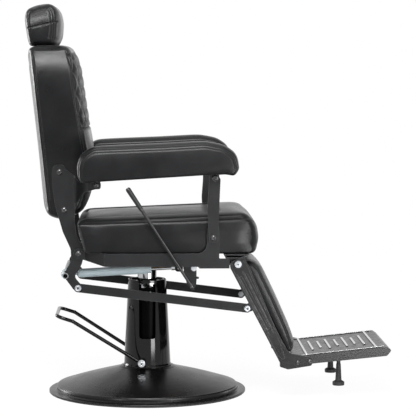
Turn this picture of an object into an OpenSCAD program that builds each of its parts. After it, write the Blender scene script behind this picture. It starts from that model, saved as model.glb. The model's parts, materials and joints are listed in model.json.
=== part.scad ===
// Hydraulic barber chair: round base, pump column, reclining back coupled to armrests and leg rest.
// Origin: centre of the base on the floor. +X is the way the sitter faces, +Z is up. Millimetres.
// "right" is the sitter's right hand side, at negative Y.

/* [Base] */
// Diameter of the round base
base_d = 600; // [560:5:660]
// Height of the rubber ring under the base
floor_ring_h = 4; // [3:0.5:8]
// Wall of the spun steel base cover
cover_t = 4; // [3:0.5:6]
// Width of the flat lip round the base cover
lip_w = 23; // [15:1:32]
// Height of the base cover at the foot of the column
dome_h = 80; // [70:1:100]
// Height of the cover where the dome rolls down to the lip
dome_edge_h = 25; // [20:1:34]
// Thickness of the steel weight plate in the base
plate_t = 10; // [6:1:14]

/* [Pump column] */
// Diameter of the column cover at its foot
column_foot_d = 142; // [136:1:150]
// Diameter of the column cover at its rim
column_top_d = 116; // [112:1:124]
// Height of the column rim above the floor
column_top_z = 345; // [340:1:352]
// Wall of the column cover
column_t = 3; // [2:0.5:4]
// Width of the window in the column cover
window_w = 50; // [40:1:56]
// Height of the window's lower edge above the floor
window_z = 168; // [160:1:190]
// Diameter of the chromed ram
ram_d = 58; // [50:1:60]
// Travel of the seat from its lowest to its highest setting
lift_travel = 150; // [120:1:155]
// Radial running clearance of shafts and of the ram
running_gap = 0.05; // [0.02:0.01:0.09]

/* [Pump pedal] */
// Distance of the pedal shaft behind the column axis
pedal_shaft_x = 18; // [14:1:22]
// Height of the pedal shaft above the floor
pedal_shaft_z = 97; // [96:1:104]
// Diameter of the pedal shaft
pedal_shaft_d = 16; // [12:1:18]
// Diameter of the pedal rod
pedal_rod_d = 11; // [9:0.5:13]
// Distance between the centre lines of the two pedal arms at the shaft
pedal_w = 164; // [160:1:190]
// Distance between the centre lines of the two pedal arms at their bends
pedal_toe_w = 208; // [180:1:220]
// Distance from the shaft to the bend of the pedal
pedal_arm = 245; // [220:1:270]
// Slope of the pedal arms
pedal_slope = 32.5; // [28:0.5:36]
// Slope of the toe end of the pedal
toe_slope = 18; // [10:1:28]
// Length of the toe end
toe_l = 50; // [40:1:65]

/* [Seat frame] */
// Width of the seat cushion
seat_w = 472; // [450:2:520]
// Thickness of the frame plates
plate_steel = 6; // [5:0.5:8]
// Height of the seat rails' lower edge above the floor
rail_z = 407; // [405:0.5:410]
// Height of the seat rails
rail_h = 39; // [36:0.5:44]
// Width of the upright that carries the armrest post
upright_w = 36; // [32:1:44]
// Front edge of the upright, from the column axis
upright_x = 210; // [204:1:220]
// Height of the cross bars under the seat
crossbar_h = 29; // [25:0.5:31]
// Width of the cross bars
crossbar_w = 40; // [30:1:50]
// Wall of the cross bars
crossbar_t = 2.5; // [2:0.5:4]
// Distance between the middle lines of the two cross bars
crossbar_pitch = 140; // [120:2:150]
// Thickness of the plywood boards
board_t = 12; // [10:1:15]

/* [Pivots, seen from the side] */
// Back pivot, X
back_x = -203; // [-208:1:-198]
// Back pivot, Z
back_z = 441; // [437:1:445]
// Leg rest pivot, X
leg_x = 268; // [264:1:276]
// Leg rest pivot, Z
leg_z = 408; // [405:1:410]
// Armrest post lower pivot, X
post_x = 193; // [190:1:196]
// Armrest post lower pivot, Z
post_z = 492; // [486:1:500]
// Length of the armrest posts between pivots
post_l = 176; // [170:1:182]
// Lean of the armrest posts from upright, forwards
post_lean = 1.6; // [0:0.1:4]
// Armrest rear pivot, X
arm_x = -148; // [-152:1:-144]
// Armrest rear pivot, Z
arm_z = 647; // [643:1:652]
// Length of the linkage lever under the back pivot
link_lever = 103; // [96:1:110]
// Distance of the linkage bar's front pin behind the leg rest's front line
link_front_x = 296; // [292:1:300]
// Height of the linkage bar's front pin
link_front_z = 275; // [268:1:282]
// Cross tube behind the back pivot, X
cross_x = -242; // [-246:1:-238]
// Cross tube below the back pivot, Z
cross_z = 375; // [371:1:379]

/* [Back frame] */
// Distance between the outer faces of the two back plates
back_frame_w = 366; // [350:2:390]
// Diameter of the cross tube of the back frame
cross_tube_d = 18; // [16:1:22]
// Height of the backrest's top
back_top_z = 1050; // [1030:5:1070]
// Height of the upper back bolts
back_bolt_z = 682; // [670:1:690]
// Width of the backrest at its top
back_top_w = 430; // [410:2:450]
// Depth of the seams in the cushions
seam_d = 5; // [2:0.5:8]
// Travel of the headrest
headrest_travel = 120; // [80:5:140]
// Width of the headrest
headrest_w = 280; // [240:5:320]
// Diameter of the headrest posts
headrest_post_d = 12; // [10:1:14]
// Distance between the headrest posts
headrest_post_pitch = 150; // [120:5:180]

/* [Armrests] */
// Width of an armrest pad
arm_w = 84; // [76:1:92]
// Thickness of the armrest's steel strip
arm_strip_t = 5; // [4:0.5:6]

/* [Recline cylinder and lever] */
// Diameter of the recline cylinder
cylinder_d = 26; // [22:1:28]
// Diameter of its rod
cylinder_rod_d = 10; // [8:1:12]
// Distance of the cylinder from the chair's middle plane
cylinder_y = 130; // [126:1:134]
// Rod pin under the seat, X
rod_pin_x = 94; // [90:1:98]
// Rod pin under the seat, Z
rod_pin_z = 393; // [390:1:395]
// Lever pivot, X
lever_x = 131; // [128:1:134]
// Lever pivot, Z
lever_z = 348; // [344:1:352]
// Length of the recline lever
lever_l = 342; // [300:2:360]
// Lean of the lever from upright, backwards
lever_lean = 33; // [28:0.5:38]
// Diameter of the lever rod
lever_d = 9; // [8:0.5:11]

/* [Leg rest and footplate] */
// Thickness of the cast leg plates
leg_plate_t = 12; // [9:1:14]
// Slope of the leg rest's rear edge, from level
leg_slope = 62; // [60:0.5:64]
// Length of the leg plates from the pivot to the heel
leg_l = 322; // [310:2:330]
// Diameter of the linkage and pivot bolts
bolt_d = 10; // [8:1:10]
// Length of the footplate
foot_l = 278; // [270:2:300]
// Thickness of the footplate
foot_t = 27; // [20:1:30]
// Slope of the footplate, rising forwards
foot_slope = 6; // [4:0.5:9]
// Number of tread ribs on the footplate
ribs = 9; // [5:1:11]
// Travel of the screw feet under the footplate
foot_travel = 12; // [5:1:14]

/* [Hidden] */

// Clearance between pieces that touch but are not fitted
gap = 0.3;
// Radial play of the pivot pins that close a linkage
open_play = 0.9;
post_play = 3.2;
eye_play = 2.1;

// ---- outlines: points [x, z, corner radius] turned into arcs ----
function unit(v) = v / norm(v);
function perp(v) = [-v[1], v[0]];
function xz(p) = [p[0], p[1]];
function turn(a) = a > 180 ? a - 360 : a < -180 ? a + 360 : a;

// The arc that rounds corner b between a and c, as points
function corner(a, b, c, want, n = 5) =
    let (u = unit(a - b), v = unit(c - b), half = acos(u * v) / 2,
         r = min(want, 0.49 * min(norm(a - b), norm(c - b)) * tan(half)),
         m = b + unit(u + v) * r / sin(half),
         s = b + u * r / tan(half) - m, e = b + v * r / tan(half) - m,
         a0 = atan2(s[1], s[0]), da = turn(atan2(e[1], e[0]) - a0))
    [for (i = [0:n]) m + r * [cos(a0 + da * i / n), sin(a0 + da * i / n)]];

function rounded(p, n = 5) = [for (i = [0:len(p) - 1])
    let (a = xz(p[(i + len(p) - 1) % len(p)]), b = xz(p[i]), c = xz(p[(i + 1) % len(p)]))
    each (p[i][2] > 0 ? corner(a, b, c, p[i][2], n) : [b])];

// A strip of even thickness t along a path, mitred at its bends
function mitre(p, i) =
    i == 0 ? perp(unit(p[1] - p[0])) :
    i == len(p) - 1 ? perp(unit(p[i] - p[i - 1])) :
    let (a = perp(unit(p[i] - p[i - 1])), b = perp(unit(p[i + 1] - p[i])), m = unit(a + b))
    m / (m * a);
function strip(p, t) = concat(
    [for (i = [0:len(p) - 1]) p[i] + mitre(p, i) * t / 2],
    [for (i = [len(p) - 1:-1:0]) p[i] - mitre(p, i) * t / 2]);

// Turns point p about centre c by angle a
function spin(p, c, a) = let (d = p - c)
    c + [d[0] * cos(a) - d[1] * sin(a), d[0] * sin(a) + d[1] * cos(a)];

// ---- small helpers ----
// An XZ outline made solid from y0 to y1
module across(y0, y1) {
    translate([0, y1, 0]) rotate([90, 0, 0]) linear_extrude(y1 - y0) children();
}

// A cylinder along Y from y0 to y1 about the XZ point p
module pin(p, d, y0, y1, fn = 32) {
    translate([p[0], y1, p[1]]) rotate([90, 0, 0]) cylinder(d = d, h = y1 - y0, $fn = fn);
}

// A straight rod between two points in space
module rod(a, b, d) {
    v = b - a;
    translate(a) rotate([0, acos(v[2] / norm(v)), atan2(v[1], v[0])])
        cylinder(d = d, h = norm(v), $fn = 24);
}

// A hexagon bolt head with washer along -Y, its seat at y
module hex_head(p, y, af, h, washer_d) {
    pin(p, washer_d, y - 1.5, y);
    pin(p, af / cos(30), y - 1.5 - h, y - 1.5, 6);
}

// A round button head with a hexagon socket along -Y, its seat at y
module button_head(p, y, d, h) {
    difference() {
        translate([p[0], y, p[1]]) rotate([90, 0, 0])
            rotate_extrude($fn = 32) polygon([[0, 0], [d / 2, 0], [d / 2, h * 0.4], [d * 0.36, h * 0.85],
                [d * 0.25, h], [0, h]]);
        pin(p, d * 0.42, y - h - 1, y - h * 0.45, 6);
    }
}

// The piece on the sitter's right, or its mirror image on the left
module hand(left) {
    if (left) mirror([0, 1, 0]) children();
    else children();
}

module both() {
    children();
    mirror([0, 1, 0]) children();
}

// ---- cushions: an outline lofted across Y, with crown, drawn-in sides and seams ----
function path_len(p) = [for (i = 0, s = 0; i <= len(p);
    s = s + (i < len(p) ? norm(p[(i + 1) % len(p)] - p[i]) : 0), i = i + 1) s];
function at_len(p, l, s, k = 0) = s <= l[k + 1] || k == len(p) - 1
    ? p[k] + (p[(k + 1) % len(p)] - p[k]) * (s - l[k]) / (l[k + 1] - l[k])
    : at_len(p, l, s, k + 1);
// n points evenly spaced along a closed outline
function even(p, n) = let (l = path_len(p), t = l[len(p)]) [for (i = [0:n - 1]) at_len(p, l, t * i / n)];
// The outline with its long edges split, so that no part of them is longer than step
function split(p, step) = [for (i = [0:len(p) - 1])
    let (a = p[i], b = p[(i + 1) % len(p)], n = max(1, ceil(norm(b - a) / step)))
    for (k = [0:n - 1]) a + (b - a) * k / n];
// Outward normals of a closed outline that runs anticlockwise
function normals(p) = let (n = len(p)) [for (i = [0:n - 1])
    -perp(unit(p[(i + 1) % n] - p[(i + n - 1) % n]))];

// Stations across a cushion of half width w with side rounding r: [y, inset]
function stations(w, r, inner) = concat(
    [for (a = [90:-30:30]) [-w + r * (1 - sin(a)), r * (1 - cos(a))]],
    [for (i = [0:inner]) [(-w + r) * (1 - 2 * i / inner), 0]],
    [for (a = [30:30:90]) [w - r * (1 - sin(a)), r * (1 - cos(a))]]);

// outline: closed XZ points; half: half width as a function of z; lift: how far a point moves
// outwards along its normal, as a function of [x, z], normal and y
// low: share of the side rounding that the underside gets
module cushion(base, w, r, inner, half, lift, mid_z = undef, bulge = 0.3, low = 1) {
    n = len(base);
    nrm = normals(base);
    st = stations(w, r, inner);
    m = len(st);
    centre = [for (k = [0, 1]) max([for (p = base) p[k]]) / 2 + min([for (p = base) p[k]]) / 2];
    mid = [centre[0], is_undef(mid_z) ? centre[1] : mid_z];
    side = function (p, s) s[0] * half(p[1]) / w;
    ring = [for (s = st) for (i = [0:n - 1])
        let (y = side(base[i], s), inset = s[1] * (1 - (1 - low) * max(0, -nrm[i][1])),
             q = base[i] + nrm[i] * (lift(base[i], nrm[i], s[0]) - inset))
        [q[0], y, q[1]]];
    pts = concat(ring, [[mid[0], -half(mid[1]) - bulge, mid[1]], [mid[0], half(mid[1]) + bulge, mid[1]]]);
    skin = [for (j = [0:m - 2]) for (i = [0:n - 1])
        let (k = (i + 1) % n, a = j * n + i, b = j * n + k, c = a + n, d = b + n)
        each [[a, b, c], [b, d, c]]];
    caps = [for (i = [0:n - 1]) let (k = (i + 1) % n)
        each [[k, i, n * m], [(m - 1) * n + i, (m - 1) * n + k, n * m + 1]]];
    polyhedron(pts, concat(skin, caps));
}

// ---- derived sizes ----
base_r = base_d / 2;
dome_r = base_r - lip_w;
column_foot_r = column_foot_d / 2;
column_top_r = column_top_d / 2;
foot_lip = 3;
dome_flat_r = column_foot_r + foot_lip + 6;
roll = 8;
plate_top = floor_ring_h + plate_t;
weight_r = dome_r - cover_t - gap;
ram_r = ram_d / 2;
pump_r = ram_r + 19;
bore_r = ram_r + 7;
flange_t = 10;
block_top = 126;
chamber_z = 132;
gland_h = 18;
gland_top = column_top_z - 5;
gland_z = gland_top - gland_h;
piston_z = 140;
piston_h = gland_z - 12 - piston_z - lift_travel - 2;
washer_t = 4;
hub_plate_t = 7;
ram_top = rail_z - hub_plate_t - 3;
hub_sleeve_z = rail_z - 30;
crossbar_z = rail_z + hub_plate_t;
seat_z = crossbar_z + crossbar_h;

frame_in = seat_w / 2 + 5;
frame_out = frame_in + plate_steel;
post_in = frame_out + gap;
post_out = post_in + plate_steel;
back_out = back_frame_w / 2;
back_in = back_out - plate_steel;
rear_in = back_out + gap;
rear_out = rear_in + plate_steel;
bar_out = back_in - gap;
// The backrest stands 1 mm clear of the plates on each side
back_low_w = 2 * (back_in - 1);
bar_in = bar_out - plate_steel;
arm_y = post_in + 6.7;

back_p = [back_x, back_z];
leg_p = [leg_x, leg_z];
post_p = [post_x, post_z];
arm_p = [arm_x, arm_z];
post_top_p = post_p + post_l * [sin(post_lean), cos(post_lean)];
link_p = back_p + [-2, -link_lever];
link_front_p = [link_front_x, link_front_z];
cross_p = [cross_x, cross_z];
rod_pin_p = [rod_pin_x, rod_pin_z];
lever_p = [lever_x, lever_z];
pedal_p = [-pedal_shaft_x, pedal_shaft_z];

// ================= base =================
// Height of the dome at radius r: it falls fast beside the column and again at the edge
function dome(r) = let (u = (r - dome_flat_r) / (dome_r - roll - dome_flat_r))
    dome_h - (dome_h - dome_edge_h) * (0.45 * pow(max(u, 0), 0.55) + 0.55 * pow(max(u, 0), 1.6));

module base_cover() {
    lip_z = floor_ring_h;
    steps = 10;
    radii = [for (i = [0:steps]) dome_flat_r + (dome_r - roll - dome_flat_r) * pow(1 - i / steps, 1.4)];
    edge = [for (a = [0:30:60]) [dome_r - roll * (1 - cos(a)), dome_edge_h - roll * (1 - sin(a))]];
    outer = concat(edge, [for (r = radii) [r, dome(r)]]);
    hole_r = column_foot_r - 8;
    color("#1c1d1e") rotate_extrude($fn = 96) polygon(concat(
        [[base_r, lip_z], [base_r, lip_z + cover_t - 1], [base_r - 1, lip_z + cover_t],
         [dome_r + 4, lip_z + cover_t + 1], [dome_r, lip_z + cover_t + 4]],
        outer, [[hole_r, dome_h], [hole_r, dome_h - cover_t]],
        [for (i = [len(outer) - 1:-1:0]) [min(outer[i][0], dome_r - cover_t), outer[i][1] - cover_t * 1.1]],
        [[dome_r - cover_t, lip_z]]));
}

module base_plate() {
    color("#26282a") difference() {
        translate([0, 0, floor_ring_h]) cylinder(r = weight_r, h = plate_t, $fn = 96);
        translate([0, 0, -1]) cylinder(r = 24, h = plate_top + 2, $fn = 48);
        base_bolt_places() translate([0, 0, -1])
            cylinder(d = bolt_d + 2 * gap, h = plate_top + 2, $fn = 24);
    }
}

module floor_ring() {
    color("#101010") rotate_extrude($fn = 96)
        polygon([[weight_r - 16, 0], [base_r - 2, 0], [base_r, 2], [base_r, floor_ring_h],
            [weight_r - 16, floor_ring_h]]);
}

module base_bolt_places() {
    for (a = [45:90:315]) rotate(a) translate([pump_r + 30, 0, 0]) children();
}

module base_bolts() {
    color("#b9bcc0") base_bolt_places() {
        translate([0, 0, floor_ring_h + 1])
            cylinder(d = bolt_d, h = plate_top + flange_t - floor_ring_h - 1, $fn = 24);
        translate([0, 0, plate_top + flange_t]) cylinder(d = bolt_d * 1.8, h = 7, $fn = 6);
    }
}

// ================= pump =================
module pump_body() {
    color("#0c0c0d") difference() {
        union() {
            translate([0, 0, plate_top]) cylinder(r = pump_r + 46, h = flange_t, $fn = 72);
            translate([0, 0, plate_top])
                cylinder(r = column_foot_r - 11, h = block_top - plate_top, $fn = 72);
            translate([0, 0, plate_top]) cylinder(r = pump_r, h = gland_z - plate_top, $fn = 72);
        }
        translate([0, 0, chamber_z]) cylinder(r = bore_r, h = column_top_z, $fn = 72);
        pin(pedal_p, pedal_shaft_d + 2 * running_gap, -column_foot_r, column_foot_r, 48);
        base_bolt_places() cylinder(d = bolt_d + 2 * gap, h = 60, $fn = 24);
        cover_screw_places() translate([0, 0, pump_r - 6]) cylinder(d = 6.6, h = 10, $fn = 24);
    }
}

module pump_gland() {
    cap_r = column_top_r - column_t - gap;
    color("#dfe2e4") rotate_extrude($fn = 72) polygon([
        [ram_r + running_gap, gland_z - 12], [bore_r - running_gap, gland_z - 12],
        [bore_r - running_gap, gland_z], [pump_r, gland_z], [pump_r, gland_top - 6],
        [cap_r, gland_top - 6], [cap_r, gland_top - 1], [cap_r - 1, gland_top],
        [ram_r + 4, gland_top], [ram_r + running_gap, gland_top - 3]]);
}

// Half taper of the column cover: outer radius at height z
function column_r(z) = column_foot_r
    - (column_foot_r - column_top_r) * (z - dome_h - 8) / (column_top_z - dome_h - 8);

module column_cover() {
    color("#0f1011") difference() {
        rotate_extrude($fn = 72) polygon([
            [column_foot_r + foot_lip, dome_h], [column_foot_r + foot_lip, dome_h + 3],
            [column_foot_r, dome_h + 8], [column_top_r, column_top_z - 1],
            [column_top_r - 1, column_top_z], [column_top_r - column_t, column_top_z],
            [column_foot_r - column_t, dome_h + 8], [column_foot_r - column_t, dome_h]]);
        across(-column_foot_r, -column_top_r / 2) polygon(rounded([
            [-window_w / 2, window_z, 9], [window_w / 2, window_z, 9],
            [window_w / 2, column_top_z - 9, 3], [-window_w / 2, column_top_z - 9, 3]]));
        pin(pedal_p, pedal_shaft_d + 3, -column_foot_r - 9, column_foot_r + 9, 32);
        cover_screw_places() {
            translate([0, 0, pump_r]) cylinder(d = 6.6, h = 30, $fn = 24);
            translate([0, 0, column_r(screw_z) - 0.6]) cylinder(d = 11, h = 8, $fn = 32);
        }
    }
}

// Places for the two screws that hold the column cover to the pump tube, Z axis outwards
module cover_screw_places() {
    for (a = [-139, 139]) rotate(a) translate([0, 0, screw_z]) rotate([0, 90, 0]) children();
}
screw_z = 262;

module cover_screws() {
    seat = column_r(screw_z) - 0.6;
    color("#6f7478") cover_screw_places() {
        translate([0, 0, pump_r - 5]) cylinder(d = 6, h = seat - pump_r + 5, $fn = 24);
        translate([0, 0, seat]) rotate_extrude($fn = 32)
            polygon([[0, 0], [5, 0], [5, 1.2], [3.4, 2.6], [0, 3]]);
    }
}

// ================= pump pedal =================
pedal_boss = 7;
// How much fatter the welded ball at each bend is than the rod
pedal_weld = 0.8;

module pedal_shaft() {
    end_y = pedal_w / 2 + pedal_boss + 9;
    color("#8f9398") difference() {
        pin(pedal_p, pedal_shaft_d, -end_y, end_y, 48);
        both() pin(pedal_p, pedal_shaft_d + 10, -end_y - 1, -pedal_w / 2 - pedal_boss);
    }
    color("#8f9398") both() pin(pedal_p, pedal_shaft_d - 6, -end_y, -pedal_w / 2 - pedal_boss, 32);
}

module pump_pedal() {
    y = pedal_w / 2;
    toe_y = pedal_toe_w / 2;
    bend = pedal_p + pedal_arm * [-cos(pedal_slope), sin(pedal_slope)];
    bend_r = 24;
    color("#0d0e0f") {
        both() {
            difference() {
                union() {
                    pin(pedal_p, pedal_shaft_d + 9, -y - pedal_boss, -y + pedal_boss, 40);
                    rod([pedal_p[0], -y, pedal_p[1]], [bend[0], -toe_y, bend[1]], pedal_rod_d);
                }
                pin(pedal_p, pedal_shaft_d, -y - pedal_boss - 1, -y + pedal_boss + 1, 48);
            }
            translate([bend[0], -toe_y, bend[1]]) sphere(d = pedal_rod_d + pedal_weld, $fn = 24);
        }
        translate([bend[0], 0, bend[1]]) rotate([0, toe_slope, 0]) {
            both() {
                rod([0, -toe_y, 0], [-toe_l + bend_r, -toe_y, 0], pedal_rod_d);
                translate([-toe_l + bend_r, -toe_y + bend_r, 0]) rotate(180)
                    rotate_extrude(angle = 90, $fn = 48)
                    translate([bend_r, 0]) circle(d = pedal_rod_d, $fn = 24);
            }
            rod([-toe_l, -toe_y + bend_r, 0], [-toe_l, toe_y - bend_r, 0], pedal_rod_d);
        }
    }
}

module pedal_nuts() {
    y = pedal_w / 2 + pedal_boss;
    color("#d4d7da") both() difference() {
        hex_head(pedal_p, -y, 17, 7, 22);
        pin(pedal_p, pedal_shaft_d - 6 + 2 * running_gap, -y - 20, 0, 32);
    }
}

// ================= lifting ram =================
module ram() {
    color("#e6e9ec") {
        translate([0, 0, piston_z + piston_h])
            cylinder(r = ram_r, h = ram_top - piston_z - piston_h, $fn = 72);
        translate([0, 0, piston_z]) cylinder(r = ram_r - 14, h = piston_h, $fn = 48);
    }
}

module piston() {
    color("#3a3c3e") translate([0, 0, piston_z]) difference() {
        cylinder(r = bore_r - running_gap, h = piston_h, $fn = 72);
        translate([0, 0, -1]) cylinder(r = ram_r - 14, h = piston_h + 2, $fn = 48);
        translate([0, 0, piston_h / 2 - 1.5]) difference() {
            cylinder(r = bore_r + 1, h = 3, $fn = 72);
            translate([0, 0, -1]) cylinder(r = bore_r - 2.5, h = 5, $fn = 72);
        }
    }
}

module thrust_washer() {
    color("#9a7b3f") translate([0, 0, ram_top]) difference() {
        cylinder(r = ram_r - 1, h = washer_t, $fn = 64);
        translate([0, 0, -1]) cylinder(r = ram_r - 16, h = washer_t + 2, $fn = 48);
    }
}

// ================= seat frame =================
module hub_bolt_places() {
    for (x = [-1, 1]) for (y = [-1, 1]) translate([x * crossbar_pitch / 2, y * 78, 0]) children();
}

module swivel_hub() {
    side = crossbar_pitch + crossbar_w + 14;
    roof = ram_top + washer_t + gap;
    color("#161718") difference() {
        union() {
            translate([0, 0, rail_z]) linear_extrude(hub_plate_t) polygon(rounded([
                [-side / 2, -side / 2, 12], [side / 2, -side / 2, 12],
                [side / 2, side / 2, 12], [-side / 2, side / 2, 12]]));
            translate([0, 0, hub_sleeve_z]) cylinder(r = ram_r + 13, h = rail_z - hub_sleeve_z, $fn = 72);
        }
        translate([0, 0, hub_sleeve_z - 1])
            cylinder(r = ram_r + running_gap, h = roof - hub_sleeve_z + 1, $fn = 72);
        hub_bolt_places() translate([0, 0, rail_z - 1])
            cylinder(d = bolt_d + 2 * gap, h = hub_plate_t + 2, $fn = 24);
    }
}

module hub_bolts() {
    color("#b9bcc0") hub_bolt_places() {
        translate([0, 0, rail_z - 6.5]) cylinder(d = bolt_d * 1.8, h = 6.5, $fn = 6);
        translate([0, 0, rail_z]) cylinder(d = bolt_d, h = hub_plate_t + crossbar_t + 8, $fn = 24);
    }
}

module crossbar(x) {
    color("#161718") difference() {
        across(-frame_in, frame_in) translate([x, crossbar_z + crossbar_h / 2])
            square([crossbar_w, crossbar_h], center = true);
        across(-frame_in - 1, frame_in + 1) translate([x, crossbar_z + crossbar_h / 2])
            square([crossbar_w - 2 * crossbar_t, crossbar_h - 2 * crossbar_t], center = true);
        hub_bolt_places() translate([0, 0, crossbar_z - 1])
            cylinder(d = bolt_d + 2 * gap, h = crossbar_t + 2, $fn = 24);
    }
}

module crossbar_rear() { crossbar(-crossbar_pitch / 2); }
module crossbar_front() { crossbar(crossbar_pitch / 2); }

leg_top_r = 22;
leg_bar_z = leg_z + leg_top_r + 1;
leg_bar_x = leg_x - 45;

// Channel under the front of the seat with the two lugs that carry the leg rest
module leg_crossbar() {
    front = leg_x + 30;
    color("#101112") {
        difference() {
            across(-frame_in, frame_in) polygon([[leg_bar_x, seat_z - gap], [leg_bar_x + 6, leg_bar_z],
                [front - 22, leg_bar_z], [front, seat_z - 2.5], [front, seat_z - gap]]);
            across(-frame_in - 1, frame_in + 1) polygon([[leg_bar_x + 5, seat_z - 3],
                [leg_bar_x + 9, leg_bar_z + 3], [front - 24, leg_bar_z + 3], [front - 13, seat_z - 3]]);
        }
        both() difference() {
            across(-bar_out, -bar_in) polygon(rounded([
                [leg_x - 20, leg_bar_z, 0], [leg_x - 18, leg_z - 18, 14], [leg_x + 18, leg_z - 18, 14],
                [leg_x + 20, leg_bar_z, 0]]));
            pin(leg_p, bolt_d + 2 * running_gap, -back_out, 0, 48);
        }
    }
}

// Side plate: rail, upright with the post's pivot, and a nose that carries the leg cross bar.
// Behind the seat the plate bends inwards to the back pivot.
module side_frame(left) {
    end_r = 15;
    main_y = -(frame_in + frame_out) / 2;
    rear_y = -(rear_in + rear_out) / 2;
    run = main_y - rear_y;
    // the 45 degree bend ends clear of the back pivot's bolt head
    bend_x = back_x + 20.3 - run;
    nose_z = rail_z - 5;
    top = post_z + 33;
    outline = rounded([
        [bend_x, rail_z + 1, 40], [148, rail_z, 0], [152, nose_z, 3], [leg_x - leg_top_r - 6, nose_z, 0],
        [leg_x - leg_top_r - 6, leg_bar_z, 0], [upright_x, leg_bar_z, 3],
        [upright_x, top, 8], [upright_x - upright_w, top, 12],
        [upright_x - upright_w, rail_z + rail_h, 28], [bend_x, rail_z + rail_h, 60],
        [back_x, back_z + end_r, 0], [back_x, back_z - end_r, 0]]);
    color("#2b2d2f") hand(left) difference() {
        intersection() {
            across(-frame_out - 1, 0) union() {
                polygon(outline);
                translate(back_p) circle(r = end_r, $fn = 48);
            }
            linear_extrude(2 * post_z) polygon(strip([
                [upright_x + 60, main_y], [bend_x, main_y], [bend_x + run, rear_y], [back_x - 40, rear_y]],
                plate_steel));
        }
        pin(back_p, bolt_d + 2 * running_gap, -frame_out - 2, 0, 48);
        pin(post_p, bolt_d + 2 * running_gap, -frame_out - 2, 0, 48);
        pin(leg_p, 2 * leg_top_r + 10, -frame_out - 2, 0, 64);
    }
}

module side_frame_right() { side_frame(false); }
module side_frame_left() { side_frame(true); }

// Back pivots and post pivots: dark button head bolts
module frame_pivot_bolts() {
    color("#17181a") both() {
        button_head(back_p, -rear_out, 18, 5);
        pin(back_p, bolt_d, -rear_out, -back_in + 1);
        pin(back_p, 16, -back_in + 1, -back_in + 8, 6);
        button_head(post_p, -post_out, 17, 5);
        pin(post_p, bolt_d, -post_out, -frame_in + 1);
        pin(post_p, 16, -frame_in + 1, -frame_in + 4, 6);
    }
}

leg_out = back_in + leg_plate_t;

module leg_pivot_bolts() {
    color("#c9ccd0") both() {
        hex_head(leg_p, -leg_out - gap, 18, 7, 21);
        pin(leg_p, bolt_d, -leg_out - gap, -bar_in + 1, 48);
        pin(leg_p, 18, -bar_in + 1, -bar_in + 8, 6);
    }
}

// ---- seat ----
seat_front = 326;
seat_back = -197;
seat_top_front = seat_z + 119;
seat_top_rear = seat_z + 99;
board_front = seat_front - 40;
board_back = seat_back + 85;
panel_x = (seat_front + seat_back) / 2 - 4;

module seat_board() {
    w = seat_w / 2 - 20;
    color("#9c7a4a") translate([0, 0, seat_z]) linear_extrude(board_t) polygon(rounded([
        [board_back, -w, 20], [board_front, -w, 30], [board_front, w, 30], [board_back, w, 20]]));
}

module seat_cushion() {
    w = seat_w / 2;
    outline = rounded([
        [seat_back + 19, seat_z + 11, 8], [seat_back + 69, seat_z + 4.5, 20],
        [seat_back + 101, seat_z + gap, 20],
        [seat_front - 8, seat_z + gap, 18], [seat_front + 3, seat_z + 44, 60],
        [seat_front - 4, seat_top_front - 34, 50], [seat_front - 34, seat_top_front + 1, 44],
        [seat_front - 120, seat_top_front - 2, 80], [seat_back + 16, seat_top_rear + 2, 20],
        [seat_back - 12, seat_top_rear - 6, 14], [seat_back - 4, seat_z + 72, 40]], 2);
    // the crown, the groove under the top roll, and the sunken seat panel
    lift = function (p, n, y) let (s = y / w, top = max(0, n[1]),
        rise = (seat_top_front - seat_top_rear) / (seat_front - seat_back),
        roll_z = seat_top_rear + rise * (p[0] - seat_back),
        panel = norm([max(abs(p[0] - panel_x) - 165, 0), max(abs(y) - 150, 0)]))
        6 * top * (1 - s * s) + 3 * max(0, n[0]) * (1 - s * s)
        - seam_d * exp(-pow((p[1] - roll_z + 22) / 8, 2)) * (1 - top)
        - seam_d * 0.6 * top * exp(-pow((panel - 12) / 12, 2));
    color("#1d1e20") difference() {
        cushion(split(outline, 40), w, 24, 14, function (z) w, lift, low = 0.4);
        translate([0, 0, seat_z - 1]) linear_extrude(board_t + 1 + gap) polygon([
            [board_back - gap, -w + 20 - gap], [board_front + gap, -w + 20 - gap],
            [board_front + gap, w - 20 + gap], [board_back - gap, w - 20 + gap]]);
    }
}

// ================= recline lever =================
bracket_out = frame_in - 14;
bracket_in = bracket_out - 5;

// Hanger under the right end of the front cross bar: carries the lever and the rod's pin
module lever_bracket() {
    top = crossbar_z;
    color("#141516") {
        difference() {
            union() {
                across(-bracket_out, -bracket_in) polygon(rounded([
                    [lever_x - 26, top, 0], [lever_x - 26, top - 14, 6], [lever_x - 13, lever_z - 6, 12],
                    [lever_x + 11, lever_z - 6, 10], [lever_x + 13, top - 50, 8], [lever_x + 13, top, 0]]));
                across(-bracket_out, -cylinder_y + 26) polygon([
                    [(crossbar_pitch - crossbar_w) / 2, top - 5], [lever_x + 13, top - 5],
                    [lever_x + 13, top], [(crossbar_pitch - crossbar_w) / 2, top]]);
                for (y = [-cylinder_y - 17, -cylinder_y + 11])
                    across(y, y + 6) polygon(rounded([
                        [rod_pin_x - 12, top - 1, 0], [rod_pin_x - 12, rod_pin_z - 11, 9],
                        [rod_pin_x + 12, rod_pin_z - 11, 9], [rod_pin_x + 12, top - 1, 0]]));
                pin([lever_x + 17, lever_z + 24], 4, -bracket_out - 6, -bracket_in, 24);
                across(-bracket_in - 4, -bracket_in) polygon([[lever_x + 9, lever_z + 20],
                    [lever_x + 20, lever_z + 22], [lever_x + 20, lever_z + 27], [lever_x + 9, lever_z + 29]]);
            }
            pin(lever_p, bolt_d + 2 * running_gap, -bracket_out - 1, -bracket_in + 1, 48);
            pin([lever_x + 5, top - 13], 8 + 2 * gap, -bracket_out - 1, -bracket_in + 1, 24);
            pin(rod_pin_p, 8 + 2 * running_gap, -cylinder_y - 18, -cylinder_y + 18, 40);
        }
    }
}

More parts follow.
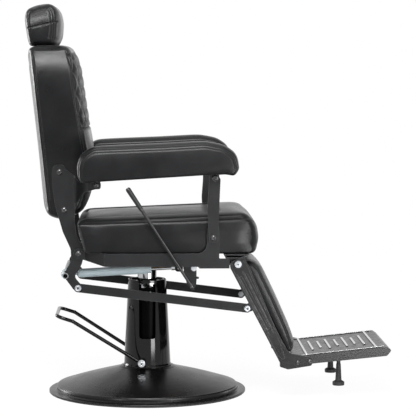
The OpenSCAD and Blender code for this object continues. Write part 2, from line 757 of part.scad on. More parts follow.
module bracket_nut() {
    p = [lever_x + 5, crossbar_z - 13];
    color("#c9ccd0") {
        hex_head(p, -bracket_out, 13, 5, 17);
        pin(p, 8, -bracket_out, -bracket_in + 6, 24);
    }
}

lever_y = post_out + 9;

// Straight rod outside the side frame, welded to a shaft in the bracket
module recline_lever() {
    top = lever_p + lever_l * [-sin(lever_lean), cos(lever_lean)];
    color("#17181a") {
        rod([lever_p[0], -lever_y, lever_p[1]], [top[0], -lever_y, top[1]], lever_d);
        translate([lever_p[0], -lever_y, lever_p[1]]) sphere(d = lever_d + 3, $fn = 32);
        pin(lever_p, bolt_d, -lever_y, -bracket_in + 6, 48);
        pin(lever_p, bolt_d + 6, -bracket_in + 0.4, -bracket_in + 6, 32);
    }
}

module lever_grip() {
    a = lever_p + (lever_l - 72) * [-sin(lever_lean), cos(lever_lean)];
    color("#0e0f10") translate([a[0], -lever_y, a[1]]) rotate([0, -lever_lean, 0]) difference() {
        rotate_extrude($fn = 40) polygon([[0, 0], [lever_d / 2 + 1.2, 0], [lever_d / 2 + 2, 4], [7.5, 62],
            [7.6, 72], [5.5, 77], [0, 78]]);
        translate([0, 0, -1]) cylinder(d = lever_d, h = 73, $fn = 24);
    }
}

// ================= recline cylinder =================
cyl_dir = unit(rod_pin_p - cross_p);
cyl_angle = atan2(cyl_dir[1], cyl_dir[0]);
cyl_back = 36;
cyl_len = 218;
eye_w = 16;

// Places children with their Z axis along the cylinder, starting at the cross tube's axis
module along_cylinder() {
    translate([cross_p[0], -cylinder_y, cross_p[1]]) rotate([0, 90 - cyl_angle, 0]) children();
}

module recline_cylinder() {
    color("#9fb0b8") difference() {
        union() {
            along_cylinder() {
                translate([0, 0, cyl_back]) rotate_extrude($fn = 48) polygon([[0, 0], [cylinder_d / 2 - 2, 0],
                    [cylinder_d / 2, 2], [cylinder_d / 2, cyl_len - 2], [cylinder_d / 2 - 2, cyl_len],
                    [0, cyl_len]]);
                cylinder(d = 11, h = cyl_back + 5, $fn = 32);
            }
            pin(cross_p, cross_tube_d + 12, -cylinder_y - eye_w / 2, -cylinder_y + eye_w / 2, 48);
        }
        pin(cross_p, cross_tube_d + 2 * eye_play, -cylinder_y - eye_w, -cylinder_y + eye_w, 48);
        along_cylinder() translate([0, 0, cyl_back + 60])
            cylinder(d = cylinder_rod_d + 2 * running_gap, h = cyl_len, $fn = 40);
    }
}

module cylinder_rod() {
    reach = norm(rod_pin_p - cross_p);
    start = cyl_back + 150;
    color("#e2e5e8") {
        difference() {
            union() {
                along_cylinder() {
                    translate([0, 0, start]) cylinder(d = cylinder_rod_d, h = reach - start, $fn = 40);
                    translate([0, 0, reach - 22]) cylinder(d = cylinder_rod_d + 5, h = 14, $fn = 6);
                }
                pin(rod_pin_p, 18, -cylinder_y - 10, -cylinder_y + 10, 40);
            }
            pin(rod_pin_p, 7, -cylinder_y - 11, -cylinder_y + 11, 40);
        }
        pin(rod_pin_p, 8, -cylinder_y - 20, -cylinder_y + 20, 40);
    }
}

// ================= back frame =================
// Plate beside the backrest. Its front arm bends outwards to the armrest's rear pivot.
module back_plate(left) {
    top_r = 20;
    top = [back_x - 55, back_bolt_z];
    arm_mid = -(post_in + post_out) / 2;
    low_mid = -(back_in + back_out) / 2;
    bend_x = back_x - 12;
    steps = 8;
    // plan of the bend: a smooth S between the plate's plane and the pivot's plane
    bend = [for (i = [0:steps]) let (u = i / steps, s = u * u * (3 - 2 * u))
        [bend_x + (arm_x - 16 - bend_x) * u, low_mid + (arm_mid - low_mid) * s]];
    plate = rounded([
        [top[0] - 22, top[1] + top_r + 1, 19], [back_x - 77, back_z + 205, 60],
        [back_x - 69, back_z + 145, 90],
        [back_x - 46, back_z + 64, 80], [back_x - 23, back_z + 13, 26], [back_x - 22, back_z - 24, 14],
        [cross_x - 1, cross_z + 14, 12], [cross_x - 2, cross_z - 6, 10],
        [link_p[0] - 15, link_p[1] - 2, 6], [link_p[0] - 3, link_p[1] - 13, 8],
        [link_p[0] + 9, link_p[1] - 6, 6],
        [link_p[0] + 9, link_p[1] + 10, 6], [cross_x + 25, cross_z - 2, 14], [cross_x + 39, cross_z + 16, 12],
        [back_x + 10, back_z - 30, 8], [back_x + 15, back_z - 8, 10], [back_x + 14, back_z + 12, 12],
        [back_x - 5, back_z + 52, 60], [back_x - 11, back_z + 92, 40], [back_x - 9, back_z + 140, 24],
        [bend_x + 2, back_z + 152, 0], [bend_x + 2, back_bolt_z - 12, 0],
        [top[0] + 20, top[1] + 8, 12], [top[0] + 12, top[1] + top_r + 1, 12]]);
    arm = rounded([
        [bend_x - 6, back_z + 150, 0], [back_x - 4, back_z + 148, 22], [back_x + 18, back_z + 186, 26],
        [arm_x - 4, arm_z - 12, 8], [arm_x + 13, arm_z - 8, 8], [arm_x + 13, arm_z + 9, 7],
        [arm_x - 14, arm_z + 12, 10], [bend_x + 20, back_bolt_z - 31, 12], [bend_x - 6, back_bolt_z - 9, 0]]);
    color("#232527") hand(left) difference() {
        union() {
            across(-back_out, -back_in) polygon(plate);
            intersection() {
                across(-post_out - 1, 0) polygon(arm);
                linear_extrude(2 * arm_z) polygon(strip(concat([[bend_x - 12, low_mid]], bend,
                    [[arm_x + 30, arm_mid]]), plate_steel));
            }
        }
        pin(top, bolt_d + 2 * gap, -back_out - 1, -back_in + 1, 32);
        pin(back_bolt_low, bolt_d + 2 * gap, -back_out - 1, -back_in + 1, 32);
        pin(back_p, bolt_d + 2 * running_gap, -back_out - 1, -back_in + 1, 48);
        pin(link_p, bolt_d + 2 * running_gap, -back_out - 1, -back_in + 1, 48);
        pin(arm_p, bolt_d + 2 * running_gap, -post_out - 1, -post_in + 1, 48);
        pin(cross_p, cross_tube_d, -back_out - 1, -back_in + 1, 48);
    }
}
back_bolt_low = [back_x - 42, back_bolt_z - 112];

module back_plate_right() { back_plate(false); }
module back_plate_left() { back_plate(true); }

module cross_tube() {
    color("#8d9296") difference() {
        pin(cross_p, cross_tube_d, -back_out - 5, back_out + 5, 48);
        pin(cross_p, cross_tube_d - 5, -back_out - 6, back_out + 6, 40);
    }
}

module backrest_bolts() {
    color("#1b1c1e") both() for (p = [[back_x - 55, back_bolt_z], back_bolt_low]) {
        button_head(p, -back_out, 17, 5);
        pin(p, bolt_d, -back_out, -back_low_w / 2 + 44, 32);
    }
}

module linkage_pins() {
    color("#d4d7da") both() {
        hex_head(link_p, -back_out, 12, 4, 19);
        pin(link_p, bolt_d, -back_out, -bar_in + 1, 48);
        pin(link_p, 17, -bar_in + 1, -bar_in + 7, 6);
    }
}

// ---- backrest ----
back_foot_z = 542;

// Lines of the backrest at height z: rear face and front face
function back_rear_x(z) = -306 - 0.0982 * (z - 600);
function back_front_x(z) = -165 - 40 * pow(max(z - 740, 0) / 257, 0.9);
// Half width of the backrest at height z: even between the plates, wider above them
function back_half(z) = let (u = min(max((z - back_bolt_z - 20) / 250, 0), 1))
    back_low_w / 2 + (back_top_w - back_low_w) / 2 * u * u * (3 - 2 * u);

board_x = function (z) back_rear_x(z) + 56;

// Plywood core; the plates' bolts go into its edges
module backrest_board() {
    low = back_foot_z + 12;
    high = back_top_z - 24;
    color("#9c7a4a") difference() {
        across(-back_low_w / 2 + 14, back_low_w / 2 - 14) polygon([
            [board_x(low) - 12, low], [board_x(low) + 18, low],
            [board_x(high) + 18, high], [board_x(high) - 12, high]]);
        both() for (p = [[back_x - 55, back_bolt_z], back_bolt_low])
            pin(p, bolt_d + 2 * gap, -back_low_w / 2, -back_low_w / 2 + 44 + gap, 32);
        both() headrest_hole(headrest_post_d + 2 * sleeve_wall + 2 * gap, sleeve_depth + 3);
    }
}

post_foot_x = back_rear_x(back_top_z) + 64;
sleeve_wall = 3;
collar_h = 3.2;
// Room for a headrest sleeve, from the backrest's top downwards
module headrest_hole(d, depth) {
    translate([post_foot_x, -headrest_post_pitch / 2, back_top_z - depth])
        cylinder(d = d, h = depth + 20, $fn = 40);
}

module backrest_cushion() {
    w = back_top_w / 2;
    outline = rounded(concat(
        [[back_rear_x(back_top_z), back_top_z, 14], [back_rear_x(800), 800, 0],
            [back_rear_x(600), 600, 60], [-299, back_foot_z + 8, 26], [-244, back_foot_z - 4, 24],
            [-190, back_foot_z + 24, 34], [-165, 640, 60], [back_front_x(700), 700, 0]],
        [for (k = [0:6]) let (z = 736 + (back_top_z - 65 - 736) * k / 6) [back_front_x(z), z, 0]],
        [[back_front_x(back_top_z - 28) - 7, back_top_z - 28, 22], [post_foot_x + 56, back_top_z, 20]]), 3);
    // diamond seams on the front face, a level seam under them, piping near both edges
    pitch = 58;
    lift = function (p, n, y) let (front = max(0, n[0]), z = p[1],
        a = (z - 812) / 1.15 + y, b = (z - 812) / 1.15 - y,
        da = abs(a / pitch - round(a / pitch)), db = abs(b / pitch - round(b / pitch)),
        sewn = z > 812 && z < back_top_z - 20)
        4 * front * (1 - pow(y / w, 2)) - seam_d * front * (sewn ? exp(-pow(min(da, db) / 0.16, 2)) : 0)
        - seam_d * front * exp(-pow((z - 808) / 9, 2)) - 2 * max(0, -n[0]) * pow(y / w, 2);
    color("#1d1e20") difference() {
        cushion(split(outline, 52), w, 22, 16, function (z) back_half(z), lift, back_bolt_z + 26);
        low = back_foot_z + 12 - gap;
        high = back_top_z - 24 + gap;
        across(-back_low_w / 2 + 14 - gap, back_low_w / 2 - 14 + gap) polygon([
            [board_x(low) - 12 - gap, low], [board_x(low) + 18 + gap, low],
            [board_x(high) + 18 + gap, high], [board_x(high) - 12 - gap, high]]);
        both() headrest_hole(headrest_post_d + 2 * sleeve_wall + 2 * gap, sleeve_depth + 3);
        both() headrest_hole(headrest_post_d + 12 + 2 * gap, collar_h + gap);
        both() for (p = [[back_x - 55, back_bolt_z], back_bolt_low])
            pin(p, bolt_d + 2 * gap, -back_low_w / 2 - 9, -back_low_w / 2 + 20, 32);
    }
}

sleeve_depth = 200;

module headrest_sleeves() {
    color("#17181a") both() translate([post_foot_x, -headrest_post_pitch / 2, 0]) difference() {
        union() {
            translate([0, 0, back_top_z - sleeve_depth])
                cylinder(d = headrest_post_d + 2 * sleeve_wall, h = sleeve_depth - 1, $fn = 40);
            translate([0, 0, back_top_z - collar_h])
                cylinder(d = headrest_post_d + 12, h = collar_h, $fn = 40);
        }
        translate([0, 0, back_top_z - sleeve_depth + 3])
            cylinder(d = headrest_post_d + 2 * running_gap, h = sleeve_depth + 10, $fn = 40);
    }
}

// ================= headrest =================
headrest_z = back_top_z + 2;
post_in_pad = 42;

module headrest_posts() {
    color("#e2e5e8") both() translate([post_foot_x, -headrest_post_pitch / 2, 0]) {
        foot = back_top_z - sleeve_depth + 8;
        translate([0, 0, foot])
            cylinder(d = headrest_post_d, h = headrest_z + post_in_pad - foot, $fn = 40);
    }
}

module headrest_pad() {
    w = headrest_w / 2;
    z0 = headrest_z;
    x0 = post_foot_x;
    outline = rounded([[x0 - 60, z0 - 1, 10], [x0 + 16, z0 - 1, 18], [x0 + 28, z0 + 26, 34],
        [x0 + 31, z0 + 70, 60], [x0 + 24, z0 + 106, 40], [x0 + 2, z0 + 126, 30], [x0 - 36, z0 + 120, 60],
        [x0 - 70, z0 + 109, 22], [x0 - 75, z0 + 82, 30], [x0 - 66, z0 + 20, 44]], 2);
    lift = function (p, n, y) 4 * (1 - pow(y / w, 2)) * max(0, n[0])
        - seam_d * 0.5 * exp(-pow((p[1] - z0 - 58) / 8, 2)) * abs(n[0]);
    color("#1d1e20") difference() {
        cushion(split(outline, 30), w, 20, 8, function (z) w, lift);
        both() translate([post_foot_x, -headrest_post_pitch / 2, z0 - 20])
            cylinder(d = headrest_post_d + 2 * gap, h = 20 + post_in_pad + gap, $fn = 40);
    }
}

// ================= armrests =================
arm_slope = atan2(post_top_p[1] - arm_p[1], post_top_p[0] - arm_p[0]);
// Point on the armrest: u along its pivot line from the rear pivot, v above that line
function on_arm(u, v) = spin(arm_p + [u, v], arm_p, arm_slope);
arm_reach = norm(post_top_p - arm_p);
pad_v = 11;
strip_v = 14;
strip_half = 15;
// How far the recess in the pad's underside reaches past the two pivots
recess_over = 22;

module armrest_rail(left) {
    ear = 12;
    color("#141516") hand(left) difference() {
        union() {
            translate([arm_p[0], 0, arm_p[1]]) rotate([0, -arm_slope, 0])
                translate([-ear - 6, -arm_y - strip_half, strip_v + gap])
                cube([arm_reach + 2 * ear + 12, 2 * strip_half, arm_strip_t]);
            across(-frame_out, -frame_in) polygon(rounded([
                concat(on_arm(-ear, strip_v + 1), 0), concat(on_arm(-ear, -ear), 6),
                concat(on_arm(ear, -ear), 6), concat(on_arm(ear, strip_v + 1), 0)]));
            across(-frame_out, -frame_in) polygon(rounded([
                concat(on_arm(arm_reach - ear, strip_v + 1), 0), concat(on_arm(arm_reach - ear, -ear), 8),
                concat(on_arm(arm_reach + ear, -ear), 8), concat(on_arm(arm_reach + ear, strip_v + 1), 0)]));
        }
        pin(arm_p, bolt_d + 2 * running_gap, -frame_out - 1, -frame_in + 1, 48);
        pin(post_top_p, bolt_d + 2 * running_gap, -frame_out - 1, -frame_in + 1, 48);
    }
}

module armrest_rail_right() { armrest_rail(false); }
module armrest_rail_left() { armrest_rail(true); }

// Pad with a rounded nose that droops over the post and a round heel behind
module armrest_pad(left) {
    w = arm_w / 2;
    rear = on_arm(-54, 0)[0];
    front = on_arm(arm_reach + 71, 0)[0];
    low = on_arm(0, pad_v)[1];
    outline = rounded([[rear + 10, low - 2, 10], [front - 44, low + 23, 30], [front - 16, low + 17, 10],
        [front, low + 38, 20], [front - 14, low + 84, 44], [front - 92, low + 113, 70],
        [front - 220, low + 106, 200], [rear + 44, low + 98, 46], [rear + 9, low + 76, 40],
        [rear - 2, low + 44, 30], [rear, low + 14, 16]], 4);
    lift = function (p, n, y) 7 * max(0, n[1]) * (1 - pow(y / w, 2)) + 1.5 * (1 - pow(y / w, 2)) * abs(n[0])
        - seam_d * 0.6 * exp(-pow((abs(y) - w + 15) / 4, 2)) * max(0, n[1]);
    color("#1d1e20") hand(left) difference() {
        translate([0, -arm_y, 0]) cushion(even(outline, 34), w, 12, 8, function (z) w, lift);
        translate([arm_p[0], 0, arm_p[1]]) rotate([0, -arm_slope, 0])
            translate([-recess_over, -arm_y - strip_half - gap, pad_v - 20])
            cube([arm_reach + 2 * recess_over, 2 * strip_half + 2 * gap,
                20 + strip_v - pad_v + arm_strip_t + 2 * gap]);
    }
}

module armrest_pad_right() { armrest_pad(false); }
module armrest_pad_left() { armrest_pad(true); }

module armrest_bolts(left) {
    color("#17181a") hand(left) {
        button_head(arm_p, -post_out, 15, 4.5);
        pin(arm_p, bolt_d, -post_out, -frame_in + 1, 48);
        pin(arm_p, 15, -frame_in + 1, -frame_in + 5, 6);
        button_head(post_top_p, -post_out, 20, 5);
        pin(post_top_p, bolt_d, -post_out, -frame_in + 1, 48);
        pin(post_top_p, 15, -frame_in + 1, -frame_in + 5, 6);
    }
}

module armrest_bolts_right() { armrest_bolts(false); }
module armrest_bolts_left() { armrest_bolts(true); }

// Flat post, rounded round both pivots
module armrest_post(left) {
    color("#2b2d2f") hand(left) difference() {
        across(-post_out, -post_in) polygon(rounded([
            [post_x - 14, post_z + 2, 0], [post_x - 13, post_z - 14, 12], [post_x + 13, post_z - 14, 12],
            [upright_x - 2, post_z + 50, 40], [post_top_p[0] + 15.5, post_top_p[1] - 4, 8],
            [post_top_p[0] + 11.5, post_top_p[1] + 4, 5], [post_top_p[0] + 6, post_top_p[1] + 9.5, 5],
            [post_top_p[0] - 17, post_top_p[1] + 9.5, 6], [post_top_p[0] - 19, post_top_p[1] - 40, 30],
            [post_x - 18, post_z + 86, 60]]));
        pin(post_p, bolt_d + 2 * running_gap, -post_out - 1, -post_in + 1, 48);
        pin(post_top_p, bolt_d + 2 * post_play, -post_out - 1, -post_in + 1, 48);
    }
}

module armrest_post_right() { armrest_post(false); }
module armrest_post_left() { armrest_post(true); }

// ================= linkage bars =================
module linkage_bar(left) {
    r = 13;
    v = unit(link_front_p - link_p);
    a = link_p - v * r;
    b = link_front_p + v * r;
    color("#202224") hand(left) difference() {
        across(-bar_out, -bar_in) polygon(rounded([
            concat(a - perp(v) * r, r), concat(b - perp(v) * r, r),
            concat(b + perp(v) * r, r), concat(a + perp(v) * r, r)], 10));
        pin(link_p, bolt_d + 2 * running_gap, -bar_out - 1, -bar_in + 1, 48);
        pin(link_front_p, bolt_d + 2 * open_play, -bar_out - 1, -bar_in + 1, 48);
    }
}

module linkage_bar_right() { linkage_bar(false); }
module linkage_bar_left() { linkage_bar(true); }

// ================= leg rest =================
// Frame of the leg plates: u down the rear edge's direction, v towards the front
leg_down = [cos(leg_slope), -sin(leg_slope)];
leg_fore = [sin(leg_slope), cos(leg_slope)];
function on_leg(u, v) = leg_p + u * leg_down + v * leg_fore;

heel = on_leg(leg_l, 0);
foot_dir = [cos(foot_slope), sin(foot_slope)];
foot_up = [-sin(foot_slope), cos(foot_slope)];
foot_p = heel + [30, 5.4];
function on_foot(u, v) = foot_p + u * foot_dir + v * foot_up;

// Cast plate with a raised rim, two flutes and a foot for the footplate's bolts
module leg_plate(left) {
    outline = rounded([
        concat(on_leg(-16, -25.5), 18), concat(heel + [-26, -11], 2), concat(heel + [-26, -23], 3),
        concat(heel + [-2, -31], 6), concat(heel + [68, -20], 7), concat(heel + [76, 4], 12),
        concat(heel + [4, 18], 10), concat(on_leg(leg_l - 50, 5), 40), concat(on_leg(150, 14.5), 80),
        concat(on_leg(20, 26), 20), concat(on_leg(-14, 24), 16)]);
    inner = rounded([
        concat(on_leg(-8, -20), 12), concat(on_leg(leg_l - 24, -23), 6), concat(heel + [-8, -8], 6),
        concat(on_leg(leg_l - 54, 0), 30), concat(on_leg(150, 9.5), 80), concat(on_leg(20, 21), 16),
        concat(on_leg(-10, 18), 10)]);
    color("#2a2b2c") hand(left) difference() {
        union() {
            across(-leg_out, -back_in) polygon(outline);
            across(-back_out, -back_in) union() {
                translate(link_front_p) circle(r = 12, $fn = 40);
                polygon([link_front_p - 11.5 * leg_down, link_front_p + 30 * leg_fore - 16 * leg_down,
                    link_front_p + 30 * leg_fore + 16 * leg_down, link_front_p + 11.5 * leg_down]);
            }
        }
        difference() {
            across(-leg_out - 1, -leg_out + 2) polygon(inner);
            pin(leg_p, 27, -leg_out - 2, 0, 48);
            for (v = flute_v) flute_rib(v - [6, 6]);
        }
        for (v = flute_v) across(-leg_out - 1, -leg_out + 4.5) polygon(rounded([
            concat(on_leg(36, v[0] - 3.5), 3), concat(on_leg(leg_l - 108, v[1] - 3.5), 3),
            concat(on_leg(leg_l - 108, v[1] + 3.5), 3), concat(on_leg(36, v[0] + 3.5), 3)], 3));
        pin(leg_p, bolt_d + 2 * running_gap, -leg_out - 1, -back_in + 1, 48);
        pin(link_front_p, bolt_d, -back_out - 1, -back_in + 1, 48);
        for (u = foot_bolt_u) pin(on_foot(u, foot_bolt_v), bolt_d + 2 * gap, -leg_out - 1, -back_in + 1, 32);
    }
}
foot_bolt_u = [-4, 32];
foot_bolt_v = -0.6 * foot_t;
// Middle lines of the two flutes: v at the upper and at the lower end
flute_v = [[-11, -11], [8, 3]];

// Low rib beside a flute, left standing in the sunken face
module flute_rib(v) {
    across(-leg_out - 2, 0) polygon([on_leg(26, v[0] - 1.5), on_leg(leg_l - 90, v[1] - 1.5),
        on_leg(leg_l - 90, v[1] + 1.5), on_leg(26, v[0] + 1.5)]);
}

module leg_plate_right() { leg_plate(false); }
module leg_plate_left() { leg_plate(true); }

module linkage_end_pins() {
    color("#d4d7da") both() {
        hex_head(link_front_p, -back_out, 11, 4, 17);
        pin(link_front_p, bolt_d, -back_out, -bar_in + 2, 48);
        pin(link_front_p, 18, -bar_in + 2, -bar_in + 7, 6);
    }
}

leg_inner = back_in - gap;

leg_board_t = 6;
// Rear face of the steel panel behind the leg pad, which follows the taper of the plates
function leg_board_v(u) = 9 - 8 * u / leg_l;

module leg_board() {
    low = leg_l - 42;
    color("#141516") across(-leg_inner, leg_inner) polygon([
        on_leg(36, leg_board_v(36)), on_leg(low, leg_board_v(low)),
        on_leg(low, leg_board_v(low) + leg_board_t), on_leg(36, leg_board_v(36) + leg_board_t)]);
}

module leg_pad() {
    w = leg_inner - 4;
    outline = rounded([
        concat(on_leg(2, leg_board_v(2) + leg_board_t + gap), 6),
        concat(on_leg(leg_l - 12, leg_board_v(leg_l - 12) + leg_board_t + gap), 6),
        concat(on_leg(leg_l - 14, 26), 14),
        concat(on_leg(leg_l - 36, 39), 30), concat(on_leg(leg_l - 82, 45), 80), concat(on_leg(146, 52), 80),
        concat(on_leg(44, 57), 50), concat(on_leg(14, 47), 24), concat(on_leg(1, 28), 12)], 5);
    lift = function (p, n, y) let (f = max(0, n * leg_fore))
        4 * f * (1 - pow(y / w, 2)) - seam_d * 0.8 * f * exp(-pow((abs(y) - w + 38) / 8, 2));
    color("#1d1e20") cushion(even(outline, 34), w, 16, 12, function (z) w, lift);
}

module footplate() {
    w = leg_inner;
    color("#2a2b2c") {
        difference() {
            across(-w, w) polygon(rounded([concat(on_foot(-16, -foot_t + 2), 4),
                concat(on_foot(foot_l - 14, -foot_t), 10), concat(on_foot(foot_l - 2, -foot_t + 12), 8),
                concat(on_foot(foot_l, -10), 6), concat(on_foot(foot_l - 12, 0), 6),
                concat(on_foot(-16, 0), 3)]));
            for (u = foot_bolt_u) both() pin(on_foot(u, foot_bolt_v), bolt_d + 2 * gap, -w - 1, -w + 24, 32);
            both() screw_hole();
        }
        for (y = [-w + 10, w - 16]) across(y, y + 6) polygon([on_foot(10, -1), on_foot(foot_l - 20, -1),
            on_foot(foot_l - 20, 2.4), on_foot(10, 2.4)]);
        for (i = [1:ribs]) across(-rib_half(i), rib_half(i)) tread(rib_u(i), 8);
    }
}

// Place and half length of tread rib i: the first and last run the full width, the others
// are longer and shorter by turns
function rib_u(i) = 26 + (foot_l - 69) * (i - 1) / (ribs - 1);
function rib_half(i) = i == 1 || i == ribs ? leg_inner - 12 : leg_inner - (i % 2 == 0 ? 92 : 118);
module tread(u, width) {
    polygon([on_foot(u - width / 2, -1), on_foot(u + width / 2, -1), on_foot(u + width / 2 - 1, 3),
        on_foot(u - width / 2 + 1, 3)]);
}

module footplate_bolts() {
    color("#17181a") both() for (u = foot_bolt_u) {
        button_head(on_foot(u, foot_bolt_v), -leg_out, 14, 4.5);
        pin(on_foot(u, foot_bolt_v), bolt_d, -leg_out, -leg_inner + 22, 32);
    }
}

// ---- screw feet ----
screw_u = 124;
screw_y = 118;
screw_d = 12;
screw_l = 82;
screw_top = on_foot(screw_u, -foot_t);

module screw_hole() {
    translate([screw_top[0], -screw_y, screw_top[1] - 10])
        cylinder(d = screw_d + 2 * running_gap, h = foot_t + 2, $fn = 40);
}

module screw_foot(left) {
    top = screw_top[1];
    color("#0c0c0d") hand(left) translate([screw_top[0], -screw_y, 0]) rotate_extrude($fn = 40) polygon([
        [0, top - screw_l], [17, top - screw_l], [18, top - screw_l + 2], [18, top - screw_l + 10],
        [15, top - screw_l + 12], [9.5, top - screw_l + 15], [7, top - foot_travel - 6],
        [screw_d / 2, top - foot_travel - 4], [screw_d / 2, top + 5], [0, top + 5]]);
}

module screw_foot_right() { screw_foot(false); }
module screw_foot_left() { screw_foot(true); }

base_cover();
base_plate();
floor_ring();
base_bolts();
pump_body();
pump_gland();
column_cover();
cover_screws();
pedal_shaft();
pump_pedal();
pedal_nuts();
ram();
piston();
thrust_washer();
swivel_hub();
hub_bolts();
crossbar_rear();
crossbar_front();
leg_crossbar();
side_frame_right();
side_frame_left();
seat_board();
seat_cushion();
lever_bracket();
bracket_nut();
frame_pivot_bolts();
leg_pivot_bolts();
recline_lever();
lever_grip();
cylinder_rod();
recline_cylinder();
back_plate_right();
back_plate_left();
cross_tube();
backrest_bolts();
linkage_pins();
backrest_board();
backrest_cushion();
headrest_sleeves();
headrest_posts();
headrest_pad();
armrest_pad_right();
armrest_pad_left();
armrest_rail_right();
armrest_rail_left();
armrest_bolts_right();
armrest_bolts_left();
armrest_post_right();
armrest_post_left();
linkage_bar_right();
linkage_bar_left();
leg_plate_right();
leg_plate_left();
linkage_end_pins();
leg_board();
leg_pad();
footplate();
footplate_bolts();
screw_foot_right();
screw_foot_left();
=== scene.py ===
import json
import math

import bpy
import numpy as np
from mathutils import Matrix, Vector
from mathutils.bvhtree import BVHTree


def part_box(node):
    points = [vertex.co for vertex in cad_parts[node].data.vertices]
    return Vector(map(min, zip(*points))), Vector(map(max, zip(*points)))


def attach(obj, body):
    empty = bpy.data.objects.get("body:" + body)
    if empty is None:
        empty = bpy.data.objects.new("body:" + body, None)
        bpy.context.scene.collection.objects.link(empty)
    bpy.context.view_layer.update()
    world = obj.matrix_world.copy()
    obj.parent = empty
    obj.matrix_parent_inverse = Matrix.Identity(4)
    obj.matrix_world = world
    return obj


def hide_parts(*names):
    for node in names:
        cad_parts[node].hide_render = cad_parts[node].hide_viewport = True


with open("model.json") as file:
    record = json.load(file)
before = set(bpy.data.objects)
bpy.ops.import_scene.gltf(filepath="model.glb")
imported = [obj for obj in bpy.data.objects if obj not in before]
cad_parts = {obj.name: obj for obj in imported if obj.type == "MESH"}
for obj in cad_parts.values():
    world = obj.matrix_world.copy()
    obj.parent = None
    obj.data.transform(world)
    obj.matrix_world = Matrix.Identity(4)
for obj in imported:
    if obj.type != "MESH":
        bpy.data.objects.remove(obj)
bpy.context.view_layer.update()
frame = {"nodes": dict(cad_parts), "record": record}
print("frame loaded:", len(frame["nodes"]), "nodes")


# camera, light and floor
cameraSet = {"place": (-0.026, -5.700, 1.0046), "tilt": 0.0777, "turn": -0.03719, "lens": 162.3, "sensor": 36}

cameraData = bpy.data.cameras.new("camera")
cameraData.lens = cameraSet["lens"]
cameraData.sensor_width = cameraSet["sensor"]
camera = bpy.data.objects.new("camera", cameraData)
camera.location = cameraSet["place"]
camera.rotation_euler = (math.pi / 2 - cameraSet["tilt"], 0, cameraSet["turn"])
bpy.context.scene.collection.objects.link(camera)
bpy.context.scene.camera = camera
bpy.context.scene.view_settings.view_transform = "Standard"


# node helpers
def addNode(tree, kind, links=(), **settings):
    # links: (input name or number, value or output socket)
    made = tree.nodes.new(kind)
    for key, value in settings.items():
        setattr(made, key, value)
    for key, value in links:
        if isinstance(value, bpy.types.NodeSocket):
            tree.links.new(value, made.inputs[key])
        else:
            made.inputs[key].default_value = value
    return made


def mathNode(tree, operation, a, b=0.0, clamp=False):
    return addNode(tree, "ShaderNodeMath", [(0, a), (1, b)], operation=operation, use_clamp=clamp).outputs[0]


# the Mix node's colour sockets are its inputs 6 and 7 and its output 2
def mixColour(tree, share, a, b):
    return addNode(tree, "ShaderNodeMix", [(0, share), (6, a), (7, b)], data_type="RGBA").outputs[2]


def mapRange(tree, value, low, high, toLow=0.0, toHigh=1.0):
    return addNode(tree, "ShaderNodeMapRange", [
        ("Value", value), ("From Min", low), ("From Max", high),
        ("To Min", toLow), ("To Max", toHigh)]).outputs[0]


# spread: a noise, which hardly leaves 0.3 to 0.7, over a range of its own
def spread(tree, noise, toLow=0.0, toHigh=1.0):
    return mapRange(tree, noise, 0.3, 0.7, toLow, toHigh)


def newGroup(name, inputs, outputs):
    group = bpy.data.node_groups.new(name, "ShaderNodeTree")
    for label, value in inputs:
        group.interface.new_socket(label, in_out="INPUT", socket_type="NodeSocketFloat").default_value = value
    for label in outputs:
        group.interface.new_socket(label, in_out="OUTPUT", socket_type="NodeSocketFloat")
    return group, group.nodes.new("NodeGroupInput").outputs, group.nodes.new("NodeGroupOutput").inputs


def objectPoint(tree):
    return tree.nodes.new("ShaderNodeTexCoord").outputs["Object"]


def noiseNode(tree, point, scale, detail=3.0, roughness=0.5):
    return addNode(tree, "ShaderNodeTexNoise", [
        ("Vector", point), ("Scale", scale), ("Detail", detail), ("Roughness", roughness)]).outputs[0]


# shared groups
# grain: pebbled leatherette, cells with creases between them, over a slow unevenness.
# bend is how far, in metres, a noise shifts the cells, and edge is how wide the crease between two cells is
grainSet = {"bend": 0.0012, "bends": 260.0, "edge": 0.22, "fine": 1500.0, "fineShare": 0.25, "clouds": 9.0}


def makeGrain():
    s = grainSet
    group, given, result = newGroup("grain", [("Pebbles", 620.0), ("Creases", 0.55)], ["Height", "Cloud"])
    point = objectPoint(group)
    noise = addNode(group, "ShaderNodeTexNoise", [("Vector", point), ("Scale", s["bends"])])
    shift = addNode(group, "ShaderNodeVectorMath", [
        (0, noise.outputs["Color"]), (1, [s["bend"]] * 3)], operation="MULTIPLY").outputs[0]
    bent = addNode(group, "ShaderNodeVectorMath", [(0, point), (1, shift)], operation="ADD").outputs[0]
    cells = addNode(group, "ShaderNodeTexVoronoi", [("Vector", bent), ("Scale", given["Pebbles"])],
                    feature="DISTANCE_TO_EDGE").outputs["Distance"]
    creased = mathNode(group, "MULTIPLY", mapRange(group, cells, 0.0, s["edge"]), given["Creases"])
    fine = mathNode(group, "MULTIPLY", noiseNode(group, point, s["fine"], 2.0), s["fineShare"])
    group.links.new(mathNode(group, "ADD", creased, fine), result["Height"])
    group.links.new(noiseNode(group, point, s["clouds"], 4.0, 0.6), result["Cloud"])
    return group


# the edge mask: 1 where the surface turns sharply within the radius, broken up by noise. It marks worn edges,
# and on cast_black also a painted highlight.
# turned is the cosine between the rounded and the plain normal, at an edge that starts to wear and a bare one
wearSet = {"turned": (0.995, 0.90), "noise": (0.40, 0.62), "least": 0.25}


